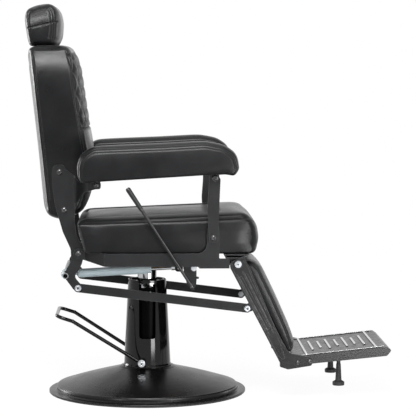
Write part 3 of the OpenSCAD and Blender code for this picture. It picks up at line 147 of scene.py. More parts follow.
def makeEdgeWearAndHighlight():
    group, given, result = newGroup("edgeWearAndHighlight", [("Radius", 0.0012), ("Breakup", 90.0)], ["Mask"])
    rounded = addNode(group, "ShaderNodeBevel", [("Radius", given["Radius"])], samples=4).outputs[0]
    plain = group.nodes.new("ShaderNodeNewGeometry").outputs["Normal"]
    same = addNode(group, "ShaderNodeVectorMath", [(0, rounded), (1, plain)],
                   operation="DOT_PRODUCT").outputs["Value"]
    turned = mapRange(group, same, *wearSet["turned"])
    noise = noiseNode(group, objectPoint(group), given["Breakup"], 4.0, 0.65)
    broken = mapRange(group, noise, *wearSet["noise"], wearSet["least"])
    group.links.new(mathNode(group, "MULTIPLY", turned, broken, True), result["Mask"])
    return group


# coatPeel: the fine orange peel of a sprayed or powder coat, and slow smears of handling
def makeCoatPeel():
    group, given, result = newGroup("coatPeel", [("Peel", 520.0), ("Smears", 14.0)], ["Height", "Smear"])
    point = objectPoint(group)
    group.links.new(noiseNode(group, point, given["Peel"], 2.0), result["Height"])
    group.links.new(noiseNode(group, point, given["Smears"], 5.0, 0.62), result["Smear"])
    return group


# turnedRings: fine rings round the upright axis, as a spinning or a lathe leaves them
def makeTurnedRings():
    group, given, result = newGroup("turnedRings", [("Rings", 900.0)], ["Height"])
    split = addNode(group, "ShaderNodeSeparateXYZ", [(0, objectPoint(group))])
    square = [mathNode(group, "MULTIPLY", split.outputs[k], split.outputs[k]) for k in (0, 1)]
    radius = mathNode(group, "SQRT", mathNode(group, "ADD", *square))
    lines = addNode(group, "ShaderNodeTexNoise", [
        ("W", mathNode(group, "ADD", radius, split.outputs[2])), ("Scale", given["Rings"])],
        noise_dimensions="1D").outputs[0]
    group.links.new(lines, result["Height"])
    return group


groups = {"grain": makeGrain(), "wear": makeEdgeWearAndHighlight(), "coat": makeCoatPeel(), "rings": makeTurnedRings()}


def useGroup(tree, name, **values):
    made = tree.nodes.new("ShaderNodeGroup")
    made.node_tree = groups[name]
    for key, value in values.items():
        made.inputs[key].default_value = value
    return made.outputs


def newMaterial(name, roughness, **plain):
    material = bpy.data.materials.new(name)
    material.use_nodes = True
    shader = material.node_tree.nodes["Principled BSDF"]
    shader.inputs["Roughness"].default_value = roughness
    for key, value in plain.items():
        shader.inputs[key].default_value = value
    return material, material.node_tree, shader


def addBump(tree, shader, height, depth, strength=1.0):
    bump = addNode(tree, "ShaderNodeBump", [("Height", height), ("Distance", depth), ("Strength", strength)])
    tree.links.new(bump.outputs[0], shader.inputs["Normal"])


# materials
# leather: pebbled leatherette, duller down in the seams, where a painted shade also darkens its colour. The
# thread is paler and shinier
leatherSet = {
    "dark": (0.0014, 0.0015, 0.0018, 1), "light": (0.0036, 0.0037, 0.0041, 1),
    "creaseShadeColour": (0.0006, 0.0006, 0.0007, 1), "gloss": (0.27, 0.36), "seamDull": 0.25, "shine": 0.17,
    "sheen": 0.06, "sheenRoughness": 0.35, "depth": 0.00022, "strength": 0.3,
}
threadSet = {**leatherSet, "light": (0.014, 0.014, 0.015, 1), "shine": 0.5}


def makeLeather(name, s):
    material, tree, shader = newMaterial(name, s["gloss"][1])
    shader.inputs["Specular IOR Level"].default_value = s["shine"]
    shader.inputs["Sheen Weight"].default_value = s["sheen"]
    shader.inputs["Sheen Roughness"].default_value = s["sheenRoughness"]
    grain = useGroup(tree, "grain")
    creaseShade = addNode(tree, "ShaderNodeAttribute", attribute_name="creaseShade").outputs["Fac"]
    skin = mixColour(tree, spread(tree, grain["Cloud"]), s["dark"], s["light"])
    # painted shade: the colour goes towards near-black by the attribute in which the cushions hold the shade
    # of their creases
    tree.links.new(mixColour(tree, creaseShade, skin, s["creaseShadeColour"]), shader.inputs["Base Color"])
    gloss = mapRange(tree, grain["Cloud"], 0.35, 0.65, *s["gloss"])
    dull = mathNode(tree, "MULTIPLY", creaseShade, s["seamDull"])
    tree.links.new(mathNode(tree, "ADD", gloss, dull, True), shader.inputs["Roughness"])
    addBump(tree, shader, grain["Height"], s["depth"], s["strength"])
    return material


# coated steel: base colour, the paler one of worn edges (on cast_black also a painted highlight), roughness
# range, depth of the peel and shine.
# wear is the radius of an edge that wears, and smear the share of the base colour where it is darkest
coatedSet = {
    "steel_dark": {"base": (0.0050, 0.0052, 0.0057, 1), "edge": (0.075, 0.077, 0.08, 1),
                   "gloss": (0.32, 0.44), "peel": 0.00010, "shine": 0.20},
    "gloss_black": {"base": (0.0022, 0.0022, 0.0024, 1), "edge": (0.01, 0.01, 0.01, 1),
                    "gloss": (0.05, 0.10), "peel": 0.000010, "shine": 0.25},
    "spun_black": {"base": (0.0015, 0.0015, 0.0017, 1), "edge": (0.03, 0.03, 0.03, 1),
                   "gloss": (0.24, 0.34), "peel": 0.00003, "shine": 0.20},
    # cast_black: its paler edge over a wider radius is partly worn rims and partly a painted highlight on the
    # leg plates' rims and flute crests
    "cast_black": {"base": (0.004, 0.004, 0.0044, 1), "edge": (0.09, 0.09, 0.092, 1),
                   "gloss": (0.26, 0.38), "peel": 0.00012, "shine": 0.22, "wear": 0.0018},
    "black_bolt": {"base": (0.007, 0.007, 0.0075, 1), "edge": (0.14, 0.14, 0.145, 1),
                   "gloss": (0.20, 0.32), "peel": 0.00003, "shine": 0.5},
    "grip_plastic": {"base": (0.005, 0.005, 0.0055, 1), "edge": (0.02, 0.02, 0.02, 1),
                     "gloss": (0.24, 0.34), "peel": 0.00008, "shine": 0.4},
    "rubber": {"base": (0.009, 0.009, 0.0095, 1), "edge": (0.04, 0.04, 0.04, 1),
               "gloss": (0.55, 0.72), "peel": 0.00016, "shine": 0.35},
    # the pump body's own finish: near-black with almost no shine, a painted shade that stands in for the
    # shade inside the column's window
    "pump_shade_black": {"base": (0.0008, 0.0008, 0.0009, 1), "edge": (0.004, 0.004, 0.004, 1),
                   "gloss": (0.30, 0.40), "peel": 0.00001, "shine": 0.02},
    "lever_black": {"base": (0.002, 0.002, 0.0022, 1), "edge": (0.03, 0.03, 0.03, 1),
                    "gloss": (0.07, 0.12), "peel": 0.00002, "shine": 0.5},
    "cylinder_blue": {"base": (0.24, 0.29, 0.31, 1), "edge": (0.55, 0.60, 0.62, 1),
                      "gloss": (0.28, 0.40), "peel": 0.00004, "shine": 0.5},
}


def makeCoated(name, base, edge, gloss, peel, shine, wear=0.0012, smear=0.8):
    material, tree, shader = newMaterial(name, 0.4)
    shader.inputs["Specular IOR Level"].default_value = shine
    coat = useGroup(tree, "coat")
    wornAndLitEdge = useGroup(tree, "wear", Radius=wear)
    smeared = mixColour(tree, spread(tree, coat["Smear"]), [smear * c for c in base[:3]] + [1], base)
    tree.links.new(mixColour(tree, wornAndLitEdge["Mask"], smeared, edge), shader.inputs["Base Color"])
    tree.links.new(spread(tree, coat["Smear"], *gloss), shader.inputs["Roughness"])
    height = coat["Height"]
    if name == "spun_black":
        height = mathNode(tree, "ADD", height, useGroup(tree, "rings")["Height"])
    addBump(tree, shader, height, peel)
    return material


# bare and plated metal: colour, darker stain, roughness range. All of it is turned, which leaves fine rings
turnedSet = {"smears": 38.0, "rings": 1400.0, "depth": 0.00002}
metalSet = {
    "chrome": {"base": (0.50, 0.51, 0.52, 1), "stain": (0.36, 0.37, 0.38, 1), "gloss": (0.05, 0.11)},
    "zinc": {"base": (0.56, 0.58, 0.60, 1), "stain": (0.34, 0.35, 0.37, 1), "gloss": (0.24, 0.38)},
    "tube_grey": {"base": (0.28, 0.29, 0.30, 1), "stain": (0.16, 0.165, 0.17, 1), "gloss": (0.32, 0.48)},
    "weight_steel": {"base": (0.15, 0.15, 0.155, 1), "stain": (0.08, 0.07, 0.065, 1), "gloss": (0.50, 0.66)},
    "bronze": {"base": (0.42, 0.27, 0.11, 1), "stain": (0.26, 0.16, 0.07, 1), "gloss": (0.28, 0.42)},
}


def makeMetal(name, base, stain, gloss):
    material, tree, shader = newMaterial(name, 0.3, Metallic=1.0)
    coat = useGroup(tree, "coat", Smears=turnedSet["smears"])
    share = mapRange(tree, coat["Smear"], 0.35, 0.65)
    tree.links.new(mixColour(tree, share, stain, base), shader.inputs["Base Color"])
    tree.links.new(spread(tree, coat["Smear"], gloss[1], gloss[0]), shader.inputs["Roughness"])
    rings = useGroup(tree, "rings", Rings=turnedSet["rings"])
    addBump(tree, shader, rings["Height"], turnedSet["depth"])
    return material


# plywood: fibres long in X, and fine bands up through the board's thickness as its plies
plywoodSet = {"pale": (0.42, 0.28, 0.15, 1), "dark": (0.20, 0.115, 0.055, 1), "stretch": (14.0, 160.0, 420.0),
              "depth": 0.0002}


def makePlywood():
    s = plywoodSet
    material, tree, shader = newMaterial("plywood", 0.62)
    mapped = addNode(tree, "ShaderNodeMapping", [("Vector", objectPoint(tree)), ("Scale", s["stretch"])])
    fibres = noiseNode(tree, mapped.outputs[0], 1.0, 6.0, 0.6)
    tree.links.new(mixColour(tree, spread(tree, fibres), s["dark"], s["pale"]), shader.inputs["Base Color"])
    addBump(tree, shader, fibres, s["depth"])
    return material


# footplate: black dimpled casting whose ribs, where they stand above the tread, are polished bright.
# The tread is the plane through a height at x = 0, sloping by a number of degrees, and the polish grows over
# a range of heights above it
treadSet = {"height": 0.08188, "slope": 6.0, "polish": (0.0018, 0.0027), "cast": (0.006, 0.006, 0.0063, 1),
            "bright": (0.60, 0.60, 0.61, 1), "shine": 0.30, "gloss": (0.22, 0.38), "smears": 60.0,
            "dimples": 240.0, "depth": 0.0003, "strength": 0.5}


def makeTread():
    s = treadSet
    material, tree, shader = newMaterial("tread", 0.4)
    shader.inputs["Specular IOR Level"].default_value = s["shine"]
    point = objectPoint(tree)
    split = addNode(tree, "ShaderNodeSeparateXYZ", [(0, point)]).outputs
    lean = math.radians(s["slope"])
    along = mathNode(tree, "MULTIPLY", split[0], math.sin(lean))
    over = mathNode(tree, "MULTIPLY", mathNode(tree, "SUBTRACT", split[2], s["height"]), math.cos(lean))
    mask = mapRange(tree, mathNode(tree, "SUBTRACT", over, along), *s["polish"])
    coat = useGroup(tree, "coat", Smears=s["smears"])
    tree.links.new(mixColour(tree, mask, s["cast"], s["bright"]), shader.inputs["Base Color"])
    tree.links.new(mask, shader.inputs["Metallic"])
    tree.links.new(spread(tree, coat["Smear"], *s["gloss"]), shader.inputs["Roughness"])
    dimples = addNode(tree, "ShaderNodeTexVoronoi", [("Vector", point), ("Scale", s["dimples"])])
    plain = mathNode(tree, "SUBTRACT", 1.0, mask)
    held = mathNode(tree, "MULTIPLY", dimples.outputs["Distance"], plain)
    addBump(tree, shader, held, s["depth"], s["strength"])
    return material


materials = {"leather": makeLeather("leather", leatherSet), "thread": makeLeather("thread", threadSet)}
materials.update({name: makeCoated(name, **values) for name, values in coatedSet.items()})
materials.update({name: makeMetal(name, **values) for name, values in metalSet.items()})
materials["plywood"] = makePlywood()
materials["tread"] = makeTread()

# a few nodes have a finish of their own (the pump body's is a painted shade), and the rest take the one of
# their slot
ownFinish = {"footplate": "tread", "pump_body": "pump_shade_black", "recline_lever": "lever_black",
             "headrest_posts": "tube_grey"}
for part in frame["record"]["subparts"]:
    cadMesh = frame["nodes"][part["node"]].data
    cadMesh.materials.clear()
    cadMesh.materials.append(materials[ownFinish.get(part["node"], part["material_slot"])])
print("materials made:", len(materials))


# form functions
# roundedOutline: every corner (x, z, radius) becomes an arc that touches both edges; the radius is held
# to half of the shorter edge, so that neighbouring arcs never meet
def roundedOutline(corners, steps=10):
    p = np.array(corners, float)
    here, radius = p[:, :2], p[:, 2]
    back, on = np.roll(here, 1, 0) - here, np.roll(here, -1, 0) - here
    lengthBack, lengthOn = np.linalg.norm(back, axis=1), np.linalg.norm(on, axis=1)
    u, v = back / lengthBack[:, None], on / lengthOn[:, None]
    half = np.arccos(np.clip((u * v).sum(1), -1, 1)) / 2
    r = np.minimum(radius, 0.49 * np.minimum(lengthBack, lengthOn) * np.tan(half))
    bisector = (u + v) / np.maximum(np.linalg.norm(u + v, axis=1), 1e-9)[:, None]
    middle = here + bisector * (r / np.sin(half))[:, None]
    start = here + u * (r / np.tan(half))[:, None] - middle
    end = here + v * (r / np.tan(half))[:, None] - middle
    a0 = np.arctan2(start[:, 1], start[:, 0])
    sweep = (np.arctan2(end[:, 1], end[:, 0]) - a0 + np.pi) % (2 * np.pi) - np.pi
    angle = a0[:, None] + sweep[:, None] * np.linspace(0, 1, steps + 1)
    arcs = middle[:, None] + r[:, None, None] * np.stack([np.cos(angle), np.sin(angle)], 2)
    points = np.where(radius[:, None, None] > 0, arcs, here[:, None]).reshape(-1, 2)
    keep = np.linalg.norm(points - np.roll(points, 1, 0), axis=1) > 1e-3
    return points[keep]


# evenOutline: a closed outline cut into count points at equal distances, the first one furthest back
# along the spine
def evenOutline(points, count, spine):
    closed = np.vstack([points, points[:1]])
    along = np.concatenate([[0], np.cumsum(np.linalg.norm(np.diff(closed, axis=0), axis=1))])
    at = along[-1] * np.arange(count) / count
    even = np.stack([np.interp(at, along, closed[:, k]) for k in (0, 1)], 1)
    return np.roll(even, -int(np.argmin(even @ (spine[1] - spine[0]))), 0)


# outlineNormals: outward normals of an anticlockwise outline, each the mean of those of the points
# up to reach steps away on both sides
def outlineNormals(points, reach):
    t = np.roll(points, -1, 0) - np.roll(points, 1, 0)
    n = np.stack([t[:, 1], -t[:, 0]], 1)
    n /= np.linalg.norm(n, axis=1)[:, None]
    total = np.cumsum(np.concatenate([n[-reach - 1:], n, n[:reach]]), axis=0)
    n = total[2 * reach + 1:] - total[:-2 * reach - 1]
    return n / np.linalg.norm(n, axis=1)[:, None]


# cushionShell: a closed grid of quads. The outline is carried from one side face to the other. At each side
# it turns in through a quarter ellipse, whose radii, in and across, go by which way the outline faces, and a
# side face closes in rings that shrink onto the spine. The side face swells by
# drop * sin(90 degrees * distance / reach), and where a cushion has a fall, its sides lean in by that much.
# Each point keeps its shoulder (0 on a side face, up to 1 across, by the ellipse's angle), into (how far in
# from the edge it lies on a side face, in mm) and which way the outline faces, in x and z
shellSet = {"smooth": 3, "ease": 1.3, "ringEase": 1.15, "lastRing": 0.94}


def cushionShell(s):
    spine = np.array(s["spine"], float)
    base = evenOutline(roundedOutline(s["outline"]), s["around"], spine)
    facing = outlineNormals(base, shellSet["smooth"])
    shares = {"front": facing[:, 0], "rear": -facing[:, 0], "top": facing[:, 1], "under": -facing[:, 1]}
    deep, wide = (sum(np.clip(share, 0, 1) ** 2 * s["edges"][name][k] for name, share in shares.items())
                  for k in (0, 1))
    halfAt = s.get("halfAt", lambda z: np.full_like(z, s["half"]))
    half = halfAt(base[:, 1])
    a = np.pi / 2 * np.linspace(0, 1, s["arc"] + 1)[:-1] ** shellSet["ease"]
    pitch = np.linalg.norm(base[1] - base[0])

    def ring(inset):
        steps = int(2 + 1.3 * inset.mean() / pitch)
        return base - outlineNormals(base, steps) * inset[:, None]

    arcs = np.stack([ring(deep * (1 - np.sin(v))) for v in a])
    arcY = np.stack([half - s["drop"] - wide * (1 - np.cos(v)) for v in a])
    across = np.linspace(-1, 1, s["across"] + 1)
    level = np.repeat(base[None], len(across), 0)
    levelY = across[:, None] * (half - s["drop"] - wide)[None]

    line = spine[1] - spine[0]
    t = np.clip((base - spine[0]) @ line / (line @ line), 0, 1)
    goal = spine[0] + t[:, None] * line
    share = np.linspace(0, shellSet["lastRing"], s["rings"] + 1)[1:] ** shellSet["ringEase"]
    closing = arcs[0][None] * (1 - share)[:, None, None] + goal[None] * share[:, None, None]
    off = np.linalg.norm(closing[:, :, None] - base[None, None], axis=3).min(2) - deep[None]
    swell = s["drop"] * np.sin(np.pi / 2 * np.clip(off / s["reach"], 0, 1))
    closingY = halfAt(closing[..., 1]) - s["drop"] + swell

    flat = np.concatenate([closing[::-1], arcs, level, arcs[::-1], closing])
    y = np.concatenate([-closingY[::-1], -arcY, levelY, arcY[::-1], closingY])
    rows, cols = y.shape
    turned, still = a / (np.pi / 2), np.zeros(len(share))
    shoulder = np.concatenate([still, turned, np.ones(len(across)), turned[::-1], still])
    inner = np.clip(off, 0, None)
    into = np.concatenate([inner[::-1], np.zeros((rows - 2 * len(share), cols)), inner])
    facts = {"shoulder": np.repeat(shoulder[:, None], cols, 1), "into": into,
             "facingX": np.repeat(facing[None, :, 0], rows, 0),
             "facingZ": np.repeat(facing[None, :, 1], rows, 0)}
    fall = s.get("fall", lambda x, z: 0 * x)(flat[..., 0], flat[..., 1])
    y -= np.sign(y) * fall * np.clip(abs(y) / s["half"], 0, 1) ** 3

    j, i = np.meshgrid(np.arange(rows - 1), np.arange(cols), indexing="ij")
    k = (i + 1) % cols
    quads = np.stack([j * cols + i, (j + 1) * cols + i, (j + 1) * cols + k, j * cols + k], 2).reshape(-1, 4)
    m = np.arange(1, cols // 2 - 1)
    lid = np.stack([m, m + 1, cols - m - 1, cols - m], 1)
    ends = np.array([[0, 1, cols - 1], [cols // 2 - 1, cols // 2, cols // 2 + 1]])
    last = (rows - 1) * cols
    quads = np.concatenate([quads, lid, last + lid[:, ::-1]])
    triangles = np.concatenate([ends, last + ends[:, ::-1]])
    verts = np.stack([flat[..., 0], y, flat[..., 1]], 2).reshape(-1, 3)
    return verts, quads, triangles, {name: values.ravel() for name, values in facts.items()}


# groove: 1 in the middle of a groove and falling off to both sides as a bell
def groove(distance, width):
    return np.exp(-(distance / width) ** 2)


# edgeSeam: a groove along the edge of a side face. The shoulder is length mm long, and the seam lies where it
# has turned by a share, or on the side face where that is below 0
def edgeSeam(f, turned, length, width):
    return groove((f["shoulder"] - turned) * length - f["into"], width)


# facingBy: how much a point faces one way, stretched by slope, less start, and held to 0..1
def facingBy(share, slope, start):
    return np.clip(share * slope - start, 0, 1)


# crown: 1 in the middle of a width and 0 at its ends, as a parabola
def crown(y, half):
    return np.clip(1 - (y / half) ** 2, 0, 1)


# quarterFall: how far a quarter ellipse, wide across and deep down, has come in at a height over its start;
# it stops short of the ellipse's end, where the curve would be upright
def quarterFall(height, deep, wide):
    u = np.clip(height / deep, 0, 0.985)
    return wide * (1 - np.sqrt(1 - u * u))


# makeMesh: vertices in metres, quads and triangles, into a smooth shaded object at the origin
def makeMesh(name, verts, quads, triangles=(), smooth=True):
    mesh = bpy.data.meshes.new(name)
    faces = [list(map(int, f)) for f in quads] + [list(map(int, f)) for f in triangles]
    mesh.from_pydata(np.asarray(verts).tolist(), [], faces)
    mesh.polygons.foreach_set("use_smooth", np.full(len(mesh.polygons), smooth))
    mesh.update()
    made = bpy.data.objects.new(name, mesh)
    bpy.context.scene.collection.objects.link(made)
    return made


def readPoints(mesh, source="vertices", field="co"):
    values = np.empty(len(mesh.vertices) * 3, np.float32)
    getattr(mesh, source).foreach_get(field, values)
    return values.reshape(-1, 3).astype(float)


def writePoints(mesh, points):
    mesh.vertices.foreach_set("co", points.astype(np.float32).ravel())
    mesh.update()


def readFact(mesh, name):
    values = np.empty(len(mesh.vertices), np.float32)
    mesh.attributes[name].data.foreach_get("value", values)
    return values.astype(float)


def writeFact(mesh, name, values):
    if name not in mesh.attributes:
        mesh.attributes.new(name, "FLOAT", "POINT")
    mesh.attributes[name].data.foreach_set("value", values.astype(np.float32))


# relax: values at the vertices drawn towards the mean of their neighbours, a number of times
def relax(mesh, values, share, times):
    edges = np.empty(len(mesh.edges) * 2, np.int32)
    mesh.edges.foreach_get("vertices", edges)
    a, b = edges.reshape(-1, 2).T
    count = np.bincount(edges, minlength=len(values))[:, None]
    for step in range(times):
        total = np.zeros_like(values)
        np.add.at(total, a, values[b])
        np.add.at(total, b, values[a])
        values = values + share * (total / count - values)
    return values


# puff: the cover is blown up as cloth from inside, with the vertices of pins held still, and what it moved is
# relaxed. No point goes further than cap: cap * tanh(distance / cap)
puffSet = {"frames": 20, "quality": 4, "pressure": 3.0, "share": 0.5, "times": 4}


def puff(piece, pins, cap):
    scene = bpy.context.scene
    rest = readPoints(piece.data)
    piece.vertex_groups.new(name="held").add(np.flatnonzero(pins).tolist(), 1.0, "REPLACE")
    cloth = piece.modifiers.new("puff", "CLOTH")
    cloth.settings.quality = puffSet["quality"]
    cloth.settings.use_pressure = True
    cloth.settings.uniform_pressure_force = puffSet["pressure"]
    cloth.settings.effector_weights.gravity = 0
    cloth.settings.vertex_group_mass = "held"
    cloth.collision_settings.use_collision = False
    cloth.point_cache.frame_start, cloth.point_cache.frame_end = 1, puffSet["frames"]
    for number in range(1, puffSet["frames"] + 1):
        scene.frame_set(number)
    grown = piece.evaluated_get(bpy.context.evaluated_depsgraph_get())
    moved = readPoints(grown.data) - rest
    moved = relax(piece.data, moved, puffSet["share"] * ~pins[:, None], puffSet["times"])
    piece.modifiers.remove(cloth)
    scene.frame_set(1)
    reach = np.linalg.norm(moved, axis=1)[:, None]
    writePoints(piece.data, rest + moved * (cap * np.tanh(reach / cap) / np.maximum(reach, 1e-9)))
    piece.vertex_groups.clear()


# makeCushion: the shell with its side faces relaxed, blown up between its seams, subdivided once, then sunk
# along its normals by the seams. seams(x, y, z, facts) gives how far each point sinks in mm, and the painted
# shade of its crease (0..1), which darkens the leather. A side face is what has a shoulder under side, and
# a point whose crease shade is past pinned is held
cushionSet = {"side": 0.05, "share": 0.6, "times": 20, "pinned": 0.45}


def makeCushion(name, s, seams, body, node, shiftY=0.0):
    verts, quads, triangles, facts = cushionShell(s)
    piece = makeMesh(name, verts / 1000, quads, triangles)
    for label, values in facts.items():
        writeFact(piece.data, label, values)
    loose = (facts["shoulder"] < cushionSet["side"])[:, None]
    verts = relax(piece.data, verts, loose * cushionSet["share"], cushionSet["times"])
    writePoints(piece.data, verts / 1000)
    creaseShade = seams(*verts.T, facts)[1]
    puff(piece, (creaseShade > cushionSet["pinned"]) | s["held"](*verts.T), s["cap"] / 1000)
    finer = piece.modifiers.new("finer", "SUBSURF")
    finer.levels = finer.render_levels = 1
    graph = bpy.context.evaluated_depsgraph_get()
    fine = bpy.data.meshes.new_from_object(piece.evaluated_get(graph), preserve_all_data_layers=True,
                                           depsgraph=graph)
    piece.modifiers.clear()
    piece.data = fine
    fine.name = name
    points = readPoints(fine)
    normals = readPoints(fine, "vertex_normals", "vector")
    sink, creaseShade = seams(*(points * 1000).T, {label: readFact(fine, label) for label in facts})
    points -= normals * sink[:, None] / 1000
    points[:, 1] += shiftY / 1000
    writePoints(fine, points)
    for label in facts:
        fine.attributes.remove(fine.attributes[label])
    # the painted shade of the creases goes into an attribute that the leather reads
    writeFact(fine, "creaseShade", np.clip(creaseShade, 0, 1))
    fine.polygons.foreach_set("use_smooth", np.full(len(fine.polygons), True))
    fine.materials.append(materials["leather"])
    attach(piece, body)
    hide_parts(node)
    return piece


# stitches: short threads, one after the other along each path, lying on the cushion's skin. A thread is a
# tapered bar with a tip at each end. Its belts of points lie on ellipses across it, each belt a share along
# the thread and a share of its full thickness
stitchSet = {"pitch": 7.5, "length": 5.2, "width": 0.55, "height": 0.5, "sides": 6,
             "belts": ((0.06, 0.45), (0.3, 1), (0.7, 1), (0.94, 0.45))}


def makeStitches(name, piece, paths, body):
    pitch, length, sides, belts = (stitchSet[key] for key in ("pitch", "length", "sides", "belts"))
    tree = BVHTree.FromObject(piece, bpy.context.evaluated_depsgraph_get())
    starts, ends, ups = [], [], []
    for path in paths:
        path = np.asarray(path, float) / 1000
        along = np.concatenate([[0], np.cumsum(np.linalg.norm(np.diff(path, axis=0), axis=1))])
        at = np.arange(0, along[-1] - pitch / 1000, pitch / 1000)
        for shift, kept in ((0, starts), (length / 1000, ends)):
            want = np.stack([np.interp(at + shift, along, path[:, k]) for k in range(3)], 1)
            hits = [tree.find_nearest(Vector(p)) for p in want]
            kept.append(np.array([hit[0] for hit in hits]))
            if shift == 0:
                ups.append(np.array([hit[1] for hit in hits]))
    a, b, up = np.concatenate(starts), np.concatenate(ends), np.concatenate(ups)
    line = b - a
    line /= np.maximum(np.linalg.norm(line, axis=1), 1e-9)[:, None]
    side = np.cross(up, line)
    angle = 2 * np.pi * np.arange(sides) / sides
    belt = (np.cos(angle)[None, :, None] * side[:, None] * stitchSet["width"]
            + (np.sin(angle)[None, :, None] * stitchSet["height"]) * up[:, None]) / 1000
    rings = [a[:, None] * (1 - u) + b[:, None] * u + belt * thick for u, thick in belts]
    verts = np.concatenate([a[:, None]] + rings + [b[:, None]], 1)
    k = np.arange(sides)
    on = (k + 1) % sides
    quads = np.concatenate([np.stack([first + k, first + on, first + sides + on, first + sides + k], 1)
                            for first in 1 + sides * np.arange(len(belts) - 1)])
    tip = 1 + sides * len(belts)
    tips = np.concatenate([np.stack([np.zeros(sides, int), 1 + on, 1 + k], 1),
                           np.stack([np.full(sides, tip), tip - sides + k, tip - sides + on], 1)])
    shift = (np.arange(len(a)) * (tip + 1))[:, None, None]
    made = makeMesh(name, verts.reshape(-1, 3), (quads[None] + shift).reshape(-1, 4),
                    (tips[None] + shift).reshape(-1, 3))
    made.data.materials.append(materials["thread"])
    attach(made, body)
    return made


# seat. The roll's height is level + slope * (x - start). A seam is its distance, below that height or out
# from the panel on top, then its width, and its depth in mm or, for shade and thin, how dark its painted
# shade is.
# The swells are (place, width) along x; they fade in below the roll and over the seat's foot
seatSet = {
    "outline": [
        (-184, 447, 6), (-128, 444.5, 20), (-96, 443.3, 20), (318, 443.3, 18), (329, 487, 60), (322, 528, 50),
        (292, 563, 44), (206, 560, 80), (-181, 544, 20), (-209, 536, 14), (-201, 515, 40)],
    "spine": ((-140, 494), (268, 502)), "half": 236, "drop": 2.0, "reach": 40, "around": 204, "across": 58,
    "arc": 9, "rings": 9,
    "edges": {"front": (24, 30), "rear": (12, 14), "top": (14, 24), "under": (6, 8)},
    "roll": {"level": 550, "slope": 0.027, "start": -197, "seam": (12, 6.0, 7.5), "lip": (-2, 8, 2.0),
             "shade": (11, 8.5, 0.95), "thin": (25, 1.8, 0.4)},
    "panel": {"middle": 8, "half": (184, 150), "seam": (12, 7.0, 7.5), "shade": 0.9, "soft": 2.5,
              "sunk": 1.5},
    "swells": ((-150, 34), (98, 46), (268, 30)),
    "swell": {"height": 2.4, "below": 20, "foot": 446, "fade": 30}, "crown": 5, "row": (-185, 310, 90),
    "cap": 4.0, "fill": 0.85,
    "held": lambda x, y, z: z < 452,
    "fall": lambda x, z: quarterFall(x - 180, 150, 22) + quarterFall(z - 516 - 0.0413 * (x + 181), 42, 32),
}


def rollHeight(x):
    roll = seatSet["roll"]
    return roll["level"] + roll["slope"] * (x - roll["start"])


# a deep seam with a full lip over it and a thin seam run round under the roll, and one runs round the panel
# on top. The sides swell softly at a few places
def seatSeams(x, y, z, f):
    s = seatSet
    roll, panel, swell = s["roll"], s["panel"], s["swell"]
    top = np.clip(f["facingZ"], 0, 1) * f["shoulder"]
    side = 1 - top
    under = rollHeight(x) - z
    seam, lip, shade, thin = (roll[name][2] * groove(under - roll[name][0], roll[name][1])
                              for name in ("seam", "lip", "shade", "thin"))
    sink = side * (seam - lip * (f["facingZ"] > -0.5))
    off = np.hypot(np.clip(abs(x - panel["middle"]) - panel["half"][0], 0, None),
                   np.clip(abs(y) - panel["half"][1], 0, None)) - panel["seam"][0]
    panelGroove = groove(off, panel["seam"][1]) * top
    inside = top / (1 + np.exp(off / panel["soft"]))
    sink += panel["seam"][2] * panelGroove + panel["sunk"] * inside - s["crown"] * top * crown(y, s["half"])
    fade = (np.clip((under - swell["below"]) / swell["fade"], 0, 1)
            * np.clip((z - swell["foot"]) / swell["fade"], 0, 1))
    for place, width in s["swells"]:
        sink -= swell["height"] * groove(x - place, width) * fade * (f["shoulder"] < 0.3)
    # the second value is painted shade: darkness under the roll, along its thin seam and in the panel's seam
    return sink, (shade + thin) * side + panel["shade"] * panelGroove


seat = makeCushion("seat", seatSet, seatSeams, "seat_frame", "seat_cushion")


def seatRow(drop, side):
    x = np.linspace(*seatSet["row"])
    return np.stack([x, np.full_like(x, side * seatSet["half"]), rollHeight(x) - drop], 1)


seatRows = [seatRow(seatSet["roll"]["thin"][0], side) for side in (-1, 1)]
makeStitches("seat_stitches", seat, seatRows, "seat_frame")
print("seat made")


# backrest. It is narrower below: half its width eases from lowHalf to half, from a height and over a rise.
# An edge seam is (share of the shoulder, the shoulder's length, its width), and it shows by facing; one on
# the net is (width, depth or darkness of its painted shade), and a level seam (height, width, share of its
# depth and painted shade)
backSet = {
    "rear": {"x": -306, "at": 600, "lean": 0.0982},
    "front": {"x": -165, "at": 740, "rise": 257, "back": 40, "bend": 0.9},
    "half": 215, "lowHalf": 176, "widen": (702, 250), "drop": 0.0, "reach": 40, "around": 220, "across": 64,
    "arc": 9, "rings": 10, "spine": ((-262, 596), (-282, 996)),
    "edges": {"front": (20, 64), "rear": (17, 46), "top": (12, 16), "under": (18, 24)},
    "slant": 1.15, "pitch": 58, "quilt": (812, 1030), "quiltDepth": 9.0, "quiltWidth": 12, "quiltRise": 1.5,
    "quiltShadeWidth": 3.4, "levels": ((808, 3.2, 1.0), (628, 2.6, 0.8)), "netPitch": 17, "net": (560, 628),
    "netStart": 570, "netSeam": (2.6, 1.6), "netShade": (2, 0.4),
    "frontSeam": (0.16, 38, 3.2), "rearSeam": (0.14, 34, 3.4), "levelDepth": 4.5, "edgeDepth": 4.0,
    "facing": (2.2, 0.9), "crown": 4, "row": (600, 1020, 80), "inset": 2, "cap": 4.0, "fill": 0.85,
    "held": lambda x, y, z: z < 545,
}


# the rear is a straight line that leans back, x - lean * rise. The front is upright and then goes back by
# back * (rise / whole rise) ^ bend
def backRear(z):
    s = backSet["rear"]
    return s["x"] - s["lean"] * (z - s["at"])


def backFront(z):
    s = backSet["front"]
    return s["x"] - s["back"] * (max(z - s["at"], 0) / s["rise"]) ** s["bend"]


